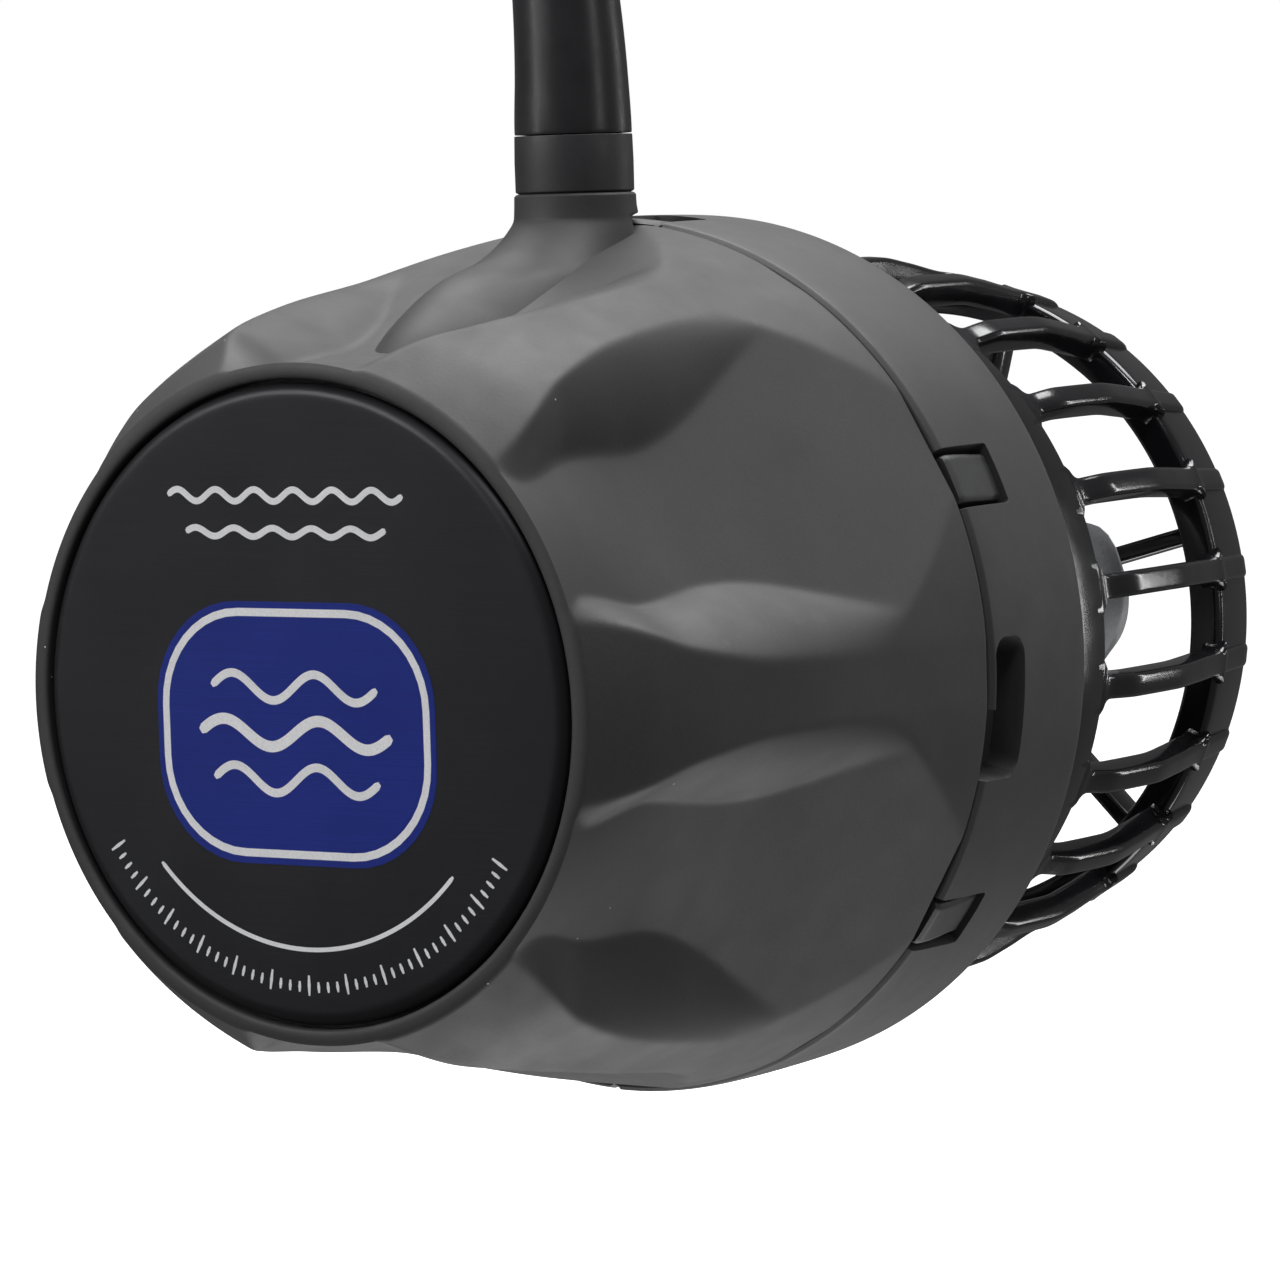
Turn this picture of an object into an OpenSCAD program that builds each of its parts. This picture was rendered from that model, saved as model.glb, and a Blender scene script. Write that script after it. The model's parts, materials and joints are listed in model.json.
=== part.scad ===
// Wave maker pump: magnetically coupled through the tank glass.
// Millimetres. Pump axis along Y: badge toward -Y, wet side toward +Y, cable out of the top, +Z.
// The origin is on the axis, on the plane where the dry side meets the glass.

/* [Dry side] */
// Outside diameter of the rear ring
ring_d = 88; // [80:1:96]
// Depth from the glass plane to the badge face
dry_depth = 71.2; // [66:0.2:78]
// Depth of the rear ring
ring_depth = 19.6; // [16:0.2:24]
// Badge diameter
badge_d = 59.5; // [50:0.5:62]
// Number of lobes around the shell
lobes = 6; // [4:1:8]
// Diameter of the cable collar
collar_d = 11.7; // [10:0.1:14]
// Distance from the glass plane to the cable's axis
cable_y = 23.7; // [20:0.1:28]
// How far the snap windows are turned from the flutes
ring_turn = 5.5; // [0:0.5:10]

/* [Motor] */
// Motor shaft diameter
shaft_d = 3.94; // [3:0.01:5]
// Number of stator teeth
teeth = 9; // [6:3:12]
// Number of rotor magnets
poles = 12; // [8:2:16]
// Number of coupling magnets on each side of the glass
coupling_magnets = 8; // [6:2:10]

/* [Wet side] */
// Cage diameter at its base
cage_d = 75.4; // [70:0.1:80]
// Distance from the glass plane to the far end of the cage
cage_end = 49.4; // [44:0.1:56]
// Number of lengthwise bars
bars = 23; // [16:1:30]
// Width of one bar
bar_w = 2.0; // [1.4:0.1:3]
// Propeller diameter
propeller_d = 63; // [50:0.5:66]
// Number of propeller blades
blades = 4; // [2:1:6]
// Axle diameter
axle_d = 5; // [4:0.1:6]

/* [Cord] */
// Cord diameter
cord_d = 7.6; // [6:0.1:9]
// Mean radius of the tied coil
coil_r = 42; // [36:1:50]

/* [Hidden] */

R_RING = ring_d/2;
Y_FRONT = -dry_depth;
Y_RIM = -dry_depth + 0.4;
Y_SEAM = -ring_depth;
R_BADGE = badge_d/2;
PITCH = 360/lobes;

// Shell surface, given along the depth from the front rim (0) to the seam (1):
// radius of the lobe crest, radius of the flute floor, half angle of the crest, angle of the side wall
CREST = [[0, -12.2], [0.06, -10.1], [0.12, -8.3], [0.28, -5.5], [0.5, -3.1], [0.75, -1.6], [1, -0.6]];
FLOOR = [[0, -12.4], [0.15, -12.3], [0.33, -12.1], [0.5, -8.6], [0.66, -5.0], [0.85, -2.0], [1, -0.8]];
HALF = [[0, 15], [0.04, 14], [0.12, 11], [0.2, 8], [0.4, 4.8], [0.7, 4.2], [1, 4]];
WALL = [[0, 2], [0.04, 5], [0.2, 8], [0.4, 12.5], [0.7, 6.2], [1, 1]];
STEPS = [0, 0.04, 0.08, 0.14, 0.2, 0.28, 0.36, 0.44, 0.52, 0.6, 0.68, 0.76, 0.84, 0.92, 1];
function crest(s) = R_RING + lookup(s, CREST);
function floor_r(s) = R_RING + lookup(s, FLOOR);
function shell_y(s) = Y_RIM + (Y_SEAM - Y_RIM)*s;
// ten columns to a lobe: centre, crest edge, mid wall, wall foot, mid floor, floor centre and back
function col_angle(i, s) = let(h = lookup(s, HALF), w = lookup(s, WALL), m = PITCH/2)
    [0, h, h + w/2, h + w, (h + w + m)/2, m, 2*m - (h + w + m)/2, 2*m - h - w, 2*m - h - w/2, 2*m - h][i];
function col_r(i, s) = let(e = crest(s), f = min(floor_r(s), e))
    [e + 0.1, e, (e + f)/2, f + 0.1, f, f, f, f + 0.1, (e + f)/2, e][i];
COLS = 10*lobes;
function ring_pt(r, y, a) = [r*cos(a), y, r*sin(a)];
function outer_row(s) = [for (j = [0:COLS - 1]) ring_pt(col_r(j % 10, s), shell_y(s), PITCH*floor(j/10) + col_angle(j % 10, s))];
function plain_row(r, y, s) = [for (j = [0:COLS - 1]) ring_pt(r, y, PITCH*floor(j/10) + col_angle(j % 10, s))];
SHELL_ROWS = concat(
    [plain_row(R_BADGE + 0.35, Y_RIM + 1.3, 0), plain_row(R_BADGE + 0.35, Y_RIM + 0.1, 0), plain_row(R_BADGE + 0.9, Y_RIM - 0.15, 0)],
    [for (s = STEPS) outer_row(s)],
    [plain_row(R_RING - 3.7, Y_SEAM, 1), plain_row(R_RING - 4.4, Y_SEAM - 6, 0.8), plain_row(R_RING - 7.4, -37, 0.6), plain_row(28.8, -50, 0.4), plain_row(28.8, Y_RIM + 3.3, 0)]);

// a closed solid from rows of points, with a middle point at each end
module from_rows(rows, first, last) {
    n = len(rows[0]);
    k = len(rows);
    pts = concat([for (r = rows) for (p = r) p], [first, last]);
    faces = concat(
        [for (i = [0:k - 2]) for (j = [0:n - 1]) [i*n + j, i*n + (j + 1) % n, (i + 1)*n + (j + 1) % n]],
        [for (i = [0:k - 2]) for (j = [0:n - 1]) [i*n + j, (i + 1)*n + (j + 1) % n, (i + 1)*n + j]],
        [for (j = [0:n - 1]) [k*n, (j + 1) % n, j]],
        [for (j = [0:n - 1]) [k*n + 1, (k - 1)*n + j, (k - 1)*n + (j + 1) % n]]);
    polyhedron(points = pts, faces = faces, convexity = 8);
}

// a closed ring-shaped solid from rows of points, the last row joined to the first
module from_loop(rows) {
    n = len(rows[0]);
    k = len(rows);
    faces = concat(
        [for (i = [0:k - 1]) for (j = [0:n - 1]) let(m = (i + 1) % k) [i*n + j, i*n + (j + 1) % n, m*n + (j + 1) % n]],
        [for (i = [0:k - 1]) for (j = [0:n - 1]) let(m = (i + 1) % k) [i*n + j, m*n + (j + 1) % n, m*n + j]]);
    polyhedron(points = [for (r = rows) for (p = r) p], faces = faces, convexity = 8);
}

// turns a profile given as [radius, y] about the pump axis
module turned(profile, fn = 96) { rotate([-90, 0, 0]) rotate_extrude($fn = fn) polygon(profile); }
// a round bar along Y from y0 to y1
module rod(r, y0, y1, fn = 32) { translate([0, y0, 0]) rotate([-90, 0, 0]) cylinder(r = r, h = y1 - y0, $fn = fn); }
module cone(r0, r1, y0, y1, fn = 32) { translate([0, y0, 0]) rotate([-90, 0, 0]) cylinder(r1 = r0, r2 = r1, h = y1 - y0, $fn = fn); }
// a tube along Y
module tube(ro, ri, y0, y1, fn = 48) { difference() { rod(ro, y0, y1, fn); rod(ri, y0 - 1, y1 + 1, fn); } }
// a ring sector about the axis, from angle a0 to a1
module sector(ri, ro, y0, y1, a0, a1) {
    m = (a0 + a1)/2;
    translate([0, y1, 0]) rotate([90, 0, 0]) linear_extrude(y1 - y0)
        polygon(concat([for (i = [0:4]) let(a = a0 + (a1 - a0)*i/4) [ro*cos(a), ro*sin(a)]], [for (i = [4:-1:0]) let(a = a0 + (a1 - a0)*i/4) [ri*cos(a), ri*sin(a)]]));
}
// puts children at an angle about the pump axis, from +X toward +Z
module at(a) { rotate([0, -a, 0]) children(); }

// ---- dry side ----

module front_badge() color([0.10, 0.10, 0.11])
    turned([[0, Y_FRONT], [R_BADGE - 1.0, Y_FRONT], [R_BADGE, Y_FRONT + 0.5], [R_BADGE, Y_FRONT + 1.2], [0, Y_FRONT + 1.2]], 120);

module badge_tape() color([0.75, 0.75, 0.72])
    tube(R_BADGE - 1.5, R_BADGE - 8, Y_FRONT + 1.2, Y_RIM + 1.3, 72);

// the cable boss: round at the top, spreading into the top flute
BOSS_Z = [28, 32, 35, 37.5, 40, 42, 44, 44.4, 46.5];
BOSS_X = [[28, 12], [32, 11], [35, 9.6], [37.5, 8.4], [40, 7.4], [42, 6.8], [44, 6.4], [46.5, 6.0]];
BOSS_F = [[28, 26], [32, 20], [35, 15.5], [37.5, 12], [40, 9.2], [42, 7.6], [44, 6.7], [46.5, 6.0]];
BOSS_B = [[28, 3.8], [44, 3.8], [44.4, 6.0], [46.5, 6.0]];
function boss_row(z) = [for (j = [0:31]) let(a = -360*j/32, c = cos(a), s = sin(a))
    [lookup(z, BOSS_X)*c, -cable_y + (s < 0 ? lookup(z, BOSS_F) : lookup(z, BOSS_B))*s, z]];

module front_shell() color([0.16, 0.16, 0.17]) difference() {
    union() {
        from_rows(SHELL_ROWS, [0, Y_RIM + 1.3, 0], [0, Y_RIM + 3.3, 0]);
        difference() {
            from_rows([for (z = BOSS_Z) boss_row(z)], [0, -cable_y, BOSS_Z[0]], [0, -cable_y, 46.5]);
            turned([[0, -60], [30, -60], [R_RING - 7.4, -37], [R_RING - 4.4, Y_SEAM - 6], [R_RING - 3.9, Y_SEAM + 1], [0, Y_SEAM + 1]], 72);
        }
    }
    translate([0, -cable_y, 30]) cylinder(r = cord_d/2 + 0.1, h = 20, $fn = 32);
}

module rear_ring() color([0.17, 0.17, 0.18]) difference() {
    turned([[R_RING - 2.6, Y_SEAM], [R_RING - 0.5, Y_SEAM], [R_RING - 0.1, Y_SEAM + 0.6], [R_RING, -12], [R_RING - 0.1, -4], [R_RING - 0.3, -1.4], [R_RING - 0.9, -0.4], [R_RING - 2.6, -0.4]], 120);
    for (i = [0:lobes - 1]) sector(R_RING - 3.4, R_RING + 1, Y_SEAM - 0.5, -11.2, PITCH*(i + 0.5) - ring_turn - 4.3, PITCH*(i + 0.5) - ring_turn + 4.3);
    for (a = [0, 180]) at(a - ring_turn) {
        translate([R_RING - 4, -18.8, -4]) cube([6, 5.2, 8]);
        for (s = [-1, 1]) translate([R_RING - 4, -16.2, s*4]) rotate([0, 90, 0]) cylinder(r = 2.6, h = 6, $fn = 24);
    }
}

module clip_ring() color([0.14, 0.14, 0.15]) difference() {
    union() {
        turned([[R_RING - 5.6, Y_SEAM - 3], [R_RING - 4.6, Y_SEAM - 3], [R_RING - 4.1, Y_SEAM], [R_RING - 2.7, Y_SEAM], [R_RING - 2.7, -3.6], [R_RING - 4.6, -3.6], [R_RING - 4.6, Y_SEAM]], 96);
        for (i = [0:lobes - 1]) {
            sector(R_RING - 3.3, R_RING - 0.3, Y_SEAM + 0.3, -12, PITCH*(i + 0.5) - ring_turn - 3.7, PITCH*(i + 0.5) - ring_turn + 3.7);
            at(PITCH*i + 54) translate([R_RING - 7.4, 0, 0]) rod(3.4, -14, -4.0, 24);
        }
    }
    for (i = [0:lobes - 1]) at(PITCH*i + 54) translate([R_RING - 7.4, 0, 0]) rod(1.3, -13, -3, 16);
    translate([0, -cable_y, 30]) cylinder(r = cord_d/2 + 0.8, h = 20, $fn = 32);
}

module face_plate() color([0.13, 0.13, 0.14]) difference() {
    turned([[0, -3.5], [R_RING - 3, -3.5], [R_RING - 3, -0.9], [R_RING - 3.3, -0.6], [0, -0.6]], 96);
    for (i = [0:lobes - 1]) at(PITCH*i + 54) translate([R_RING - 7.4, 0, 0]) { rod(1.4, -5, 1, 16); cone(1.3, 2.9, -2.5, -0.59, 20); }
}

module glass_pads() color([0.22, 0.22, 0.23])
    for (a = [24, 144, 264]) at(a) translate([34, 0, 0]) rod(5, -0.6, 0, 32);

module face_screws() color([0.7, 0.7, 0.72])
    for (i = [0:lobes - 1]) at(PITCH*i + 54) translate([R_RING - 7.4, 0, 0]) difference() {
        union() { rod(1.2, -11, -2.2, 16); cone(1.2, 2.7, -2.3, -0.8, 20); }
        for (a = [0, 90]) rotate([0, a, 0]) translate([-1.5, -1.5, -0.25]) cube([3, 1.5, 0.5]);
    }

module motor_mount() color([0.72, 0.73, 0.75]) difference() {
    union() {
        rod(27.6, Y_RIM + 3.3, Y_RIM + 5.4, 72);
        rod(6.3, Y_RIM + 5, -34, 40);
        for (i = [0:3]) at(45 + 90*i) translate([22, 0, 0]) rod(2.6, Y_RIM + 5, -63.2, 20);
    }
    rod(4, -80, -30, 32);
    rod(5.02, -80, -61, 32);
    rod(5.02, -38, -30, 32);
    for (i = [0:3]) at(45 + 90*i) translate([22, 0, 0]) rod(1.1, -66.5, -60, 16);
}

module circuit_board() color([0.07, 0.32, 0.17]) difference() {
    rod(26.6, -63.2, -61.6, 72);
    rod(7.2, -70, -60, 40);
    for (i = [0:3]) at(45 + 90*i) translate([22, 0, 0]) rod(1.25, -66, -60, 16);
}

module board_parts() color([0.12, 0.12, 0.14]) {
    for (a = [20, 70]) at(a) translate([18, 0, 0]) rod(3, -61.6, -56.4, 24);
    for (a = [110, 160, 200]) at(a) translate([14, -61.6, -3]) cube([6, 1.6, 6]);
    at(270) translate([15, -61.6, -5]) cube([5, 4.4, 10]);
    for (a = [300, 330]) at(a) translate([12, -61.6, -2]) cube([9, 1.2, 4]);
}

module board_screws() color([0.7, 0.7, 0.72])
    for (i = [0:3]) at(45 + 90*i) translate([22, 0, 0]) difference() {
        union() { rod(1.05, -66, -61.5, 16); rod(2.1, -61.6, -60.2, 20); }
        translate([-0.25, -60.9, -3]) cube([0.5, 2, 6]);
    }

module stator_core() color([0.45, 0.46, 0.48]) {
    tube(10.2, 6.35, -52, -38, 40);
    for (i = [0:teeth - 1]) at(360/teeth*i) {
        translate([9.8, -52, -1.7]) cube([9, 14, 3.4]);
        sector(18.6, 20.5, -52, -38, -15, 15);
    }
}

module stator_coils() color([0.72, 0.38, 0.16])
    for (i = [0:teeth - 1]) at(360/teeth*i) difference() {
        translate([11.4, -54, -3.4]) cube([6.8, 18, 6.8]);
        translate([10, -52.1, -1.8]) cube([10, 14.2, 3.6]);
    }

module front_bearing() color([0.78, 0.79, 0.8]) turned([[2.0, -65], [2.9, -65], [2.9, -64.7], [4.1, -64.7], [4.1, -65], [5, -65], [5, -61], [4.1, -61], [4.1, -61.3], [2.9, -61.3], [2.9, -61], [2.0, -61]], 40);
module rear_bearing() color([0.78, 0.79, 0.8]) turned([[2.0, -38], [2.9, -38], [2.9, -37.7], [4.1, -37.7], [4.1, -38], [5, -38], [5, -34], [4.1, -34], [4.1, -34.3], [2.9, -34.3], [2.9, -34], [2.0, -34]], 40);

module cable_collar() color([0.12, 0.12, 0.13]) translate([0, -cable_y, 0]) rotate_extrude($fn = 64)
    polygon([[cord_d/2 + 0.05, 46.6], [collar_d/2 - 0.2, 46.6], [collar_d/2, 46.8], [collar_d/2, 51.8], [collar_d/2 - 0.2, 52.1], [cord_d/2 + 0.05, 52.1]]);

// ---- cord ----
// straight up out of the shell, leaning over in its boot, over an arc away from the pump,
// down, and round into a tied coil that hangs under it
STRAIGHT_Z = 56;
LEAN_R = 120;
LEAN = 15;
ARC_R = 64;
BEND_R = 34;
JOIN = 60;
COIL_Z = -40;
TURN_GAP = 8;
LAYER = 3.9;
function on_arc(c, r, d) = [c[0] + r*cos(d), c[1] + r*sin(d)];
P_LEAN = on_arc([-LEAN_R, STRAIGHT_Z], LEAN_R, LEAN);
C_ARC = on_arc(P_LEAN, -ARC_R, LEAN);
RUN_X = C_ARC[0] - ARC_R;
COIL_X = RUN_X + BEND_R*(1 - cos(JOIN)) - (coil_r + LAYER)*cos(JOIN);
COIL_Y = -cable_y - TURN_GAP;
C_BEND = [RUN_X + BEND_R, COIL_Z + (coil_r + LAYER + BEND_R)*sin(JOIN)];
function run_dir(i) = i < 4 ? 0 : i < 8 ? LEAN*(i - 4)/4 : i < 23 ? LEAN + (180 - LEAN)*(i - 8)/15 : i < 28 ? 180 : 180 + JOIN*(i - 28)/5;
function run_pt(i) =
    i < 4 ? [0, 34 + (STRAIGHT_Z - 34)*i/4] :
    i < 8 ? on_arc([-LEAN_R, STRAIGHT_Z], LEAN_R, run_dir(i)) :
    i < 23 ? on_arc(C_ARC, ARC_R, run_dir(i)) :
    i < 28 ? [RUN_X, C_ARC[1] + (C_BEND[1] - C_ARC[1])*(i - 23)/5] :
    on_arc(C_BEND, BEND_R, run_dir(i));
// a ring of n points of radius r about the point p, [x, z], square to the direction d
function tube_row(p, y, d, r, n) = [for (j = [0:n - 1]) let(a = -360*j/n, u = r*cos(a)) [p[0] + u*cos(d), y + r*sin(a), p[1] + u*sin(d)]];
function spot(p, y) = [p[0], y, p[1]];
module cord_run() color([0.05, 0.05, 0.055])
    from_rows([for (i = [0:33]) tube_row(run_pt(i), -cable_y, run_dir(i), cord_d/2, 12)], spot(run_pt(0), -cable_y), spot(run_pt(33), -cable_y));

// the tapered boot follows the cord: distance along it from the collar, and its radius there
BOOT = [[0, -0.15], [5.8, -0.3], [13.8, -0.6], [21.8, -0.95], [27.2, -1.2], [28, -1.6]];
BOOT_AT = [0, 3.8, 8, 12, 16, 20, 24, 27.2, 28];
function boot_dir(s) = s < STRAIGHT_Z - 52.2 ? 0 : (s - STRAIGHT_Z + 52.2)/LEAN_R*57.2958;
function boot_pt(s) = s < STRAIGHT_Z - 52.2 ? [0, 52.2 + s] : on_arc([-LEAN_R, STRAIGHT_Z], LEAN_R, boot_dir(s));
module strain_boot() color([0.09, 0.09, 0.10]) from_loop(concat(
    [for (s = BOOT_AT) tube_row(boot_pt(s), -cable_y, boot_dir(s), collar_d/2 + lookup(s, BOOT), 24)],
    [for (i = [8:-1:0]) tube_row(boot_pt(BOOT_AT[i]), -cable_y, boot_dir(BOOT_AT[i]), cord_d/2 + 0.04, 24)]));

// the tied coil: two layers of turns, three wide
COIL_HR = LAYER + cord_d/2 + 0.05;
COIL_HW = TURN_GAP + cord_d/2 + 0.05;
COIL_CORNER = 3.6;
function coil_section() = [for (q = [[1, 1, 0], [-1, 1, 90], [-1, -1, 180], [1, -1, 270]]) for (k = [0:3])
    let(a = q[2] + 30*k) [coil_r + q[0]*(COIL_HR - COIL_CORNER) + COIL_CORNER*cos(a), q[1]*(COIL_HW - COIL_CORNER) + COIL_CORNER*sin(a)]];
module cord_coil() color([0.05, 0.05, 0.055]) translate([COIL_X, COIL_Y, COIL_Z]) rotate([-90, 0, 0]) rotate_extrude($fn = 72) polygon(coil_section());

// the last of the cord, off the side of the coil and down to the plug
LEAVE = 285;
TAIL_Y = COIL_Y + TURN_GAP + 7.8;
C_TAIL = on_arc(on_arc([COIL_X, COIL_Z], coil_r, LEAVE), -BEND_R, LEAVE - 180);
TAIL_X = C_TAIL[0] - BEND_R;
TAIL_Z = COIL_Z - 86;
function tail_dir(i) = i < 3 ? LEAVE - 180 + 12*(3 - i) : i < 8 ? LEAVE - 180 + (360 - LEAVE)*(i - 3)/5 : 180;
function tail_pt(i) = i < 3 ? on_arc([COIL_X, COIL_Z], coil_r, LEAVE + 12*(3 - i)) : i < 8 ? on_arc(C_TAIL, BEND_R, tail_dir(i)) : [TAIL_X, C_TAIL[1] + (TAIL_Z - C_TAIL[1])*(i - 8)/2];
module cord_tail() color([0.05, 0.05, 0.055])
    from_rows([for (i = [0:10]) tube_row(tail_pt(i), TAIL_Y, tail_dir(i), cord_d/2, 12)], spot(tail_pt(0), TAIL_Y), spot(tail_pt(10), TAIL_Y));

module cord_ties() color([0.08, 0.08, 0.085])
    for (a = [48, 230]) translate([COIL_X, COIL_Y, COIL_Z]) at(a) translate([coil_r, 0, 0]) difference() {
        cube([2*COIL_HR + 3, 2*COIL_HW + 3, 5], center = true);
        cube([2*COIL_HR + 0.6, 2*COIL_HW + 0.6, 6], center = true);
    }

module plug_barrel() color([0.10, 0.10, 0.11]) translate([TAIL_X, TAIL_Y, TAIL_Z]) rotate([180, 0, 0]) rotate_extrude($fn = 40)
    polygon([[0, 0], [4.4, 0], [5.2, 1], [5.8, 10], [7.2, 16], [7.4, 18], [7.4, 30], [6.0, 31], [6.0, 32], [0, 32]]);
module plug_shell() color([0.7, 0.71, 0.73]) translate([TAIL_X, TAIL_Y, TAIL_Z - 41]) difference() {
    cylinder(r = 6.6, h = 9, $fn = 48);
    translate([0, 0, -1]) cylinder(r = 6.05, h = 11, $fn = 48);
    translate([5, -1.2, -1]) cube([3, 2.4, 6]);
}
module plug_pins() color([0.8, 0.66, 0.3]) translate([TAIL_X, TAIL_Y, TAIL_Z - 39])
    for (i = [0:4]) rotate([0, 0, 36 + 60*i]) translate([3.4, 0, 0]) cylinder(r = 0.7, h = 7, $fn = 16);

// ---- driver rotor ----

module motor_shaft() color([0.75, 0.76, 0.78]) rod(shaft_d/2, -64.6, -7.2, 32);

module rotor_bell() color([0.6, 0.61, 0.63]) difference() {
    turned([[shaft_d/2, -33.2], [23.4, -33.2], [23.4, -55], [24.6, -55], [24.6, -31.8], [24.2, -31.4], [6, -31.4], [6, -27], [shaft_d/2, -27]], 72);
    for (i = [0:5]) at(60*i) translate([14, 0, 0]) rod(4, -36, -30, 24);
}

module rotor_magnets() color([0.35, 0.35, 0.37])
    for (i = [0:poles - 1]) sector(21.3, 23.35, -53, -37, 360/poles*i - 13, 360/poles*i + 13);

module driver_disc() color([0.62, 0.63, 0.65]) difference() {
    union() { rod(32, -16, -12.5, 96); rod(7, -26.8, -16, 40); }
    rod(shaft_d/2, -30, -10, 32);
    for (i = [0:3]) at(45 + 90*i) translate([11.5, 0, 0]) rod(2.2, -18, -10, 20);
}

module driver_magnets() color([0.72, 0.72, 0.74])
    for (i = [0:coupling_magnets - 1]) at(360/coupling_magnets*i) translate([23, 0, 0]) rod(7, -12.5, -5.2, 32);

module driver_nut() color([0.75, 0.76, 0.78]) difference() {
    union() { rod(4.2, -12.5, -11.7, 32); rod(4, -11.7, -8.4, 6); }
    rod(shaft_d/2, -14, -6, 32);
}

// ---- wet side ----
R_CAGE = cage_d/2;

module wet_base() color([0.06, 0.06, 0.065]) difference() {
    turned([[0, 1.0], [R_CAGE - 0.6, 1.0], [R_CAGE, 1.6], [R_CAGE, 4.6], [R_CAGE - 1.8, 4.6], [R_CAGE - 1.8, 13.2], [R_CAGE - 2.2, 13.6], [R_CAGE - 3.8, 13.6], [R_CAGE - 3.8, 4.2], [6, 4.2], [6, 6.6], [0, 6.6]], 96);
    rod(axle_d/2, 2.6, 10, 32);
}

module wet_bumpers() color([0.25, 0.25, 0.26])
    for (i = [0:3]) at(45 + 90*i) translate([31, 0, 0]) rod(4.5, 0.3, 1.0, 32);

module axle() color([0.92, 0.91, 0.88]) rod(axle_d/2, 2.7, 46, 32);
module thrust_washer() color([0.85, 0.84, 0.8]) tube(5.4, axle_d/2, 6.6, 7.4, 40);

module magnet_housing() color([0.10, 0.10, 0.11]) difference() {
    rod(31.6, 7.8, 15.4, 96);
    rod(4.2, 0, 30, 40);
    for (i = [0:coupling_magnets - 1]) at(360/coupling_magnets*i) translate([23, 0, 0]) rod(6.6, 8.8, 20, 32);
}
module impeller_magnets() color([0.72, 0.72, 0.74])
    for (i = [0:coupling_magnets - 1]) at(360/coupling_magnets*i) translate([23, 0, 0]) rod(6.6, 8.8, 15.3, 32);
module housing_lid() color([0.10, 0.10, 0.11]) turned([[4.2, 15.4], [31.6, 15.4], [31.6, 16.2], [30.6, 17.0], [12, 17.6], [4.2, 17.6]], 96);
module bushing() color([0.9, 0.89, 0.84]) tube(4.2, axle_d/2 + 0.05, 7.7, 37.6, 40);

// a blade: five stations from root to tip, turned to an even pitch
BLADE_R0 = 7.6;
BLADE_PITCH = 100;
function blade_pt(k, t, side) = let(
        r = BLADE_R0 + (propeller_d/2 - BLADE_R0)*k/6,
        grow = sin(30 + 120*k/6),
        half = 7*grow + 5,
        lean = atan(BLADE_PITCH/(6.2832*r)),
        thick = 1.5 - 0.12*k,
        bow = 1.6*(1 - 4*t*t),
        u = 2*half*t,
        along = u*cos(lean) - (side*thick/2 + bow)*sin(lean),
        up = u*sin(lean) + (side*thick/2*(1 - 3*t*t) + bow)*cos(lean),
        a = along/r*57.2958)
    [r*cos(a), 28 + up, r*sin(a)];
function blade_row(k) = concat([for (i = [0:6]) blade_pt(k, -0.5 + i/6, -1)], [for (i = [5:-1:1]) blade_pt(k, -0.5 + i/6, 1)]);
module blade() {
    rows = [for (k = [0:6]) blade_row(k)];
    mid0 = (rows[0][3] + rows[0][9])/2;
    mid1 = (rows[6][3] + rows[6][9])/2;
    from_rows(rows, mid0, mid1);
}
module propeller() color([0.55, 0.56, 0.57]) difference() {
    union() {
        turned([[0, 17.6], [11, 17.6], [9.4, 20], [8.6, 24], [8.4, 37.6], [0, 37.6]], 48);
        for (i = [0:blades - 1]) at(360/blades*i + 3) blade();
    }
    rod(4.2, 0, 60, 40);
}
module hub_cap() color([0.5, 0.51, 0.52]) turned([[axle_d/2 + 0.3, 37.6], [8.4, 37.6], [8.0, 40], [6.4, 42], [4.4, 42.8], [axle_d/2 + 0.3, 42.8]], 48);

// ---- cage ----
CAGE_OUT = [[R_CAGE, 5.0], [R_CAGE, 14], [R_CAGE + 1.1, 20], [R_CAGE + 1.2, 28], [R_CAGE + 0.4, 34], [R_CAGE - 0.8, 40], [R_CAGE - 1.4, 42.2], [R_CAGE - 2.2, 44], [R_CAGE - 3.0, cage_end - 0.6], [R_CAGE - 3.4, cage_end]];
CAGE_IN = [[R_CAGE - 5.2, cage_end], [R_CAGE - 5.0, 43], [R_CAGE - 3.9, 40], [R_CAGE - 2.4, 34], [R_CAGE - 1.6, 28], [R_CAGE - 1.6, 20], [R_CAGE - 2.5, 14.2], [R_CAGE - 1.5, 13.8], [R_CAGE - 1.5, 5.0]];
WIN = 360/bars - 2*asin(bar_w/2/(R_CAGE - 1));
module cage_slab(y0, y1) intersection() {
    turned(concat(CAGE_OUT, CAGE_IN), 92);
    translate([-60, y0, -60]) cube([120, y1 - y0, 120]);
}
// the rim that snaps over the wet base, the bars, and the far band with the bars running on over it as low ribs
module cage_rim() color([0.045, 0.045, 0.05]) cage_slab(0, 14.2);
module cage_bars() color([0.045, 0.045, 0.05]) difference() {
    cage_slab(14.2, 42.2);
    for (i = [0:bars - 1]) translate([0, 43, 0]) rotate([90, 0, 0]) linear_extrude(30)
        let(a = 360/bars*(i + 0.5) + 7.7) polygon([[20*cos(a), 20*sin(a)], [48*cos(a - WIN/2), 48*sin(a - WIN/2)], [48*cos(a + WIN/2), 48*sin(a + WIN/2)]]);
}
module cage_band() color([0.045, 0.045, 0.05]) {
    cage_slab(42.2, cage_end);
    for (i = [0:bars - 1]) at(360/bars*i + 7.7) translate([0, 0, -bar_w/2]) linear_extrude(bar_w)
        polygon([[R_CAGE - 4, 42.4], [R_CAGE - 1.0, 42.4], [R_CAGE - 1.5, 44], [R_CAGE - 2.4, cage_end - 1], [R_CAGE - 4, cage_end - 1]]);
}
module cage_hub() color([0.05, 0.05, 0.055]) tube(6.6, axle_d/2 + 0.06, 43.6, 48.4, 40);
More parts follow.
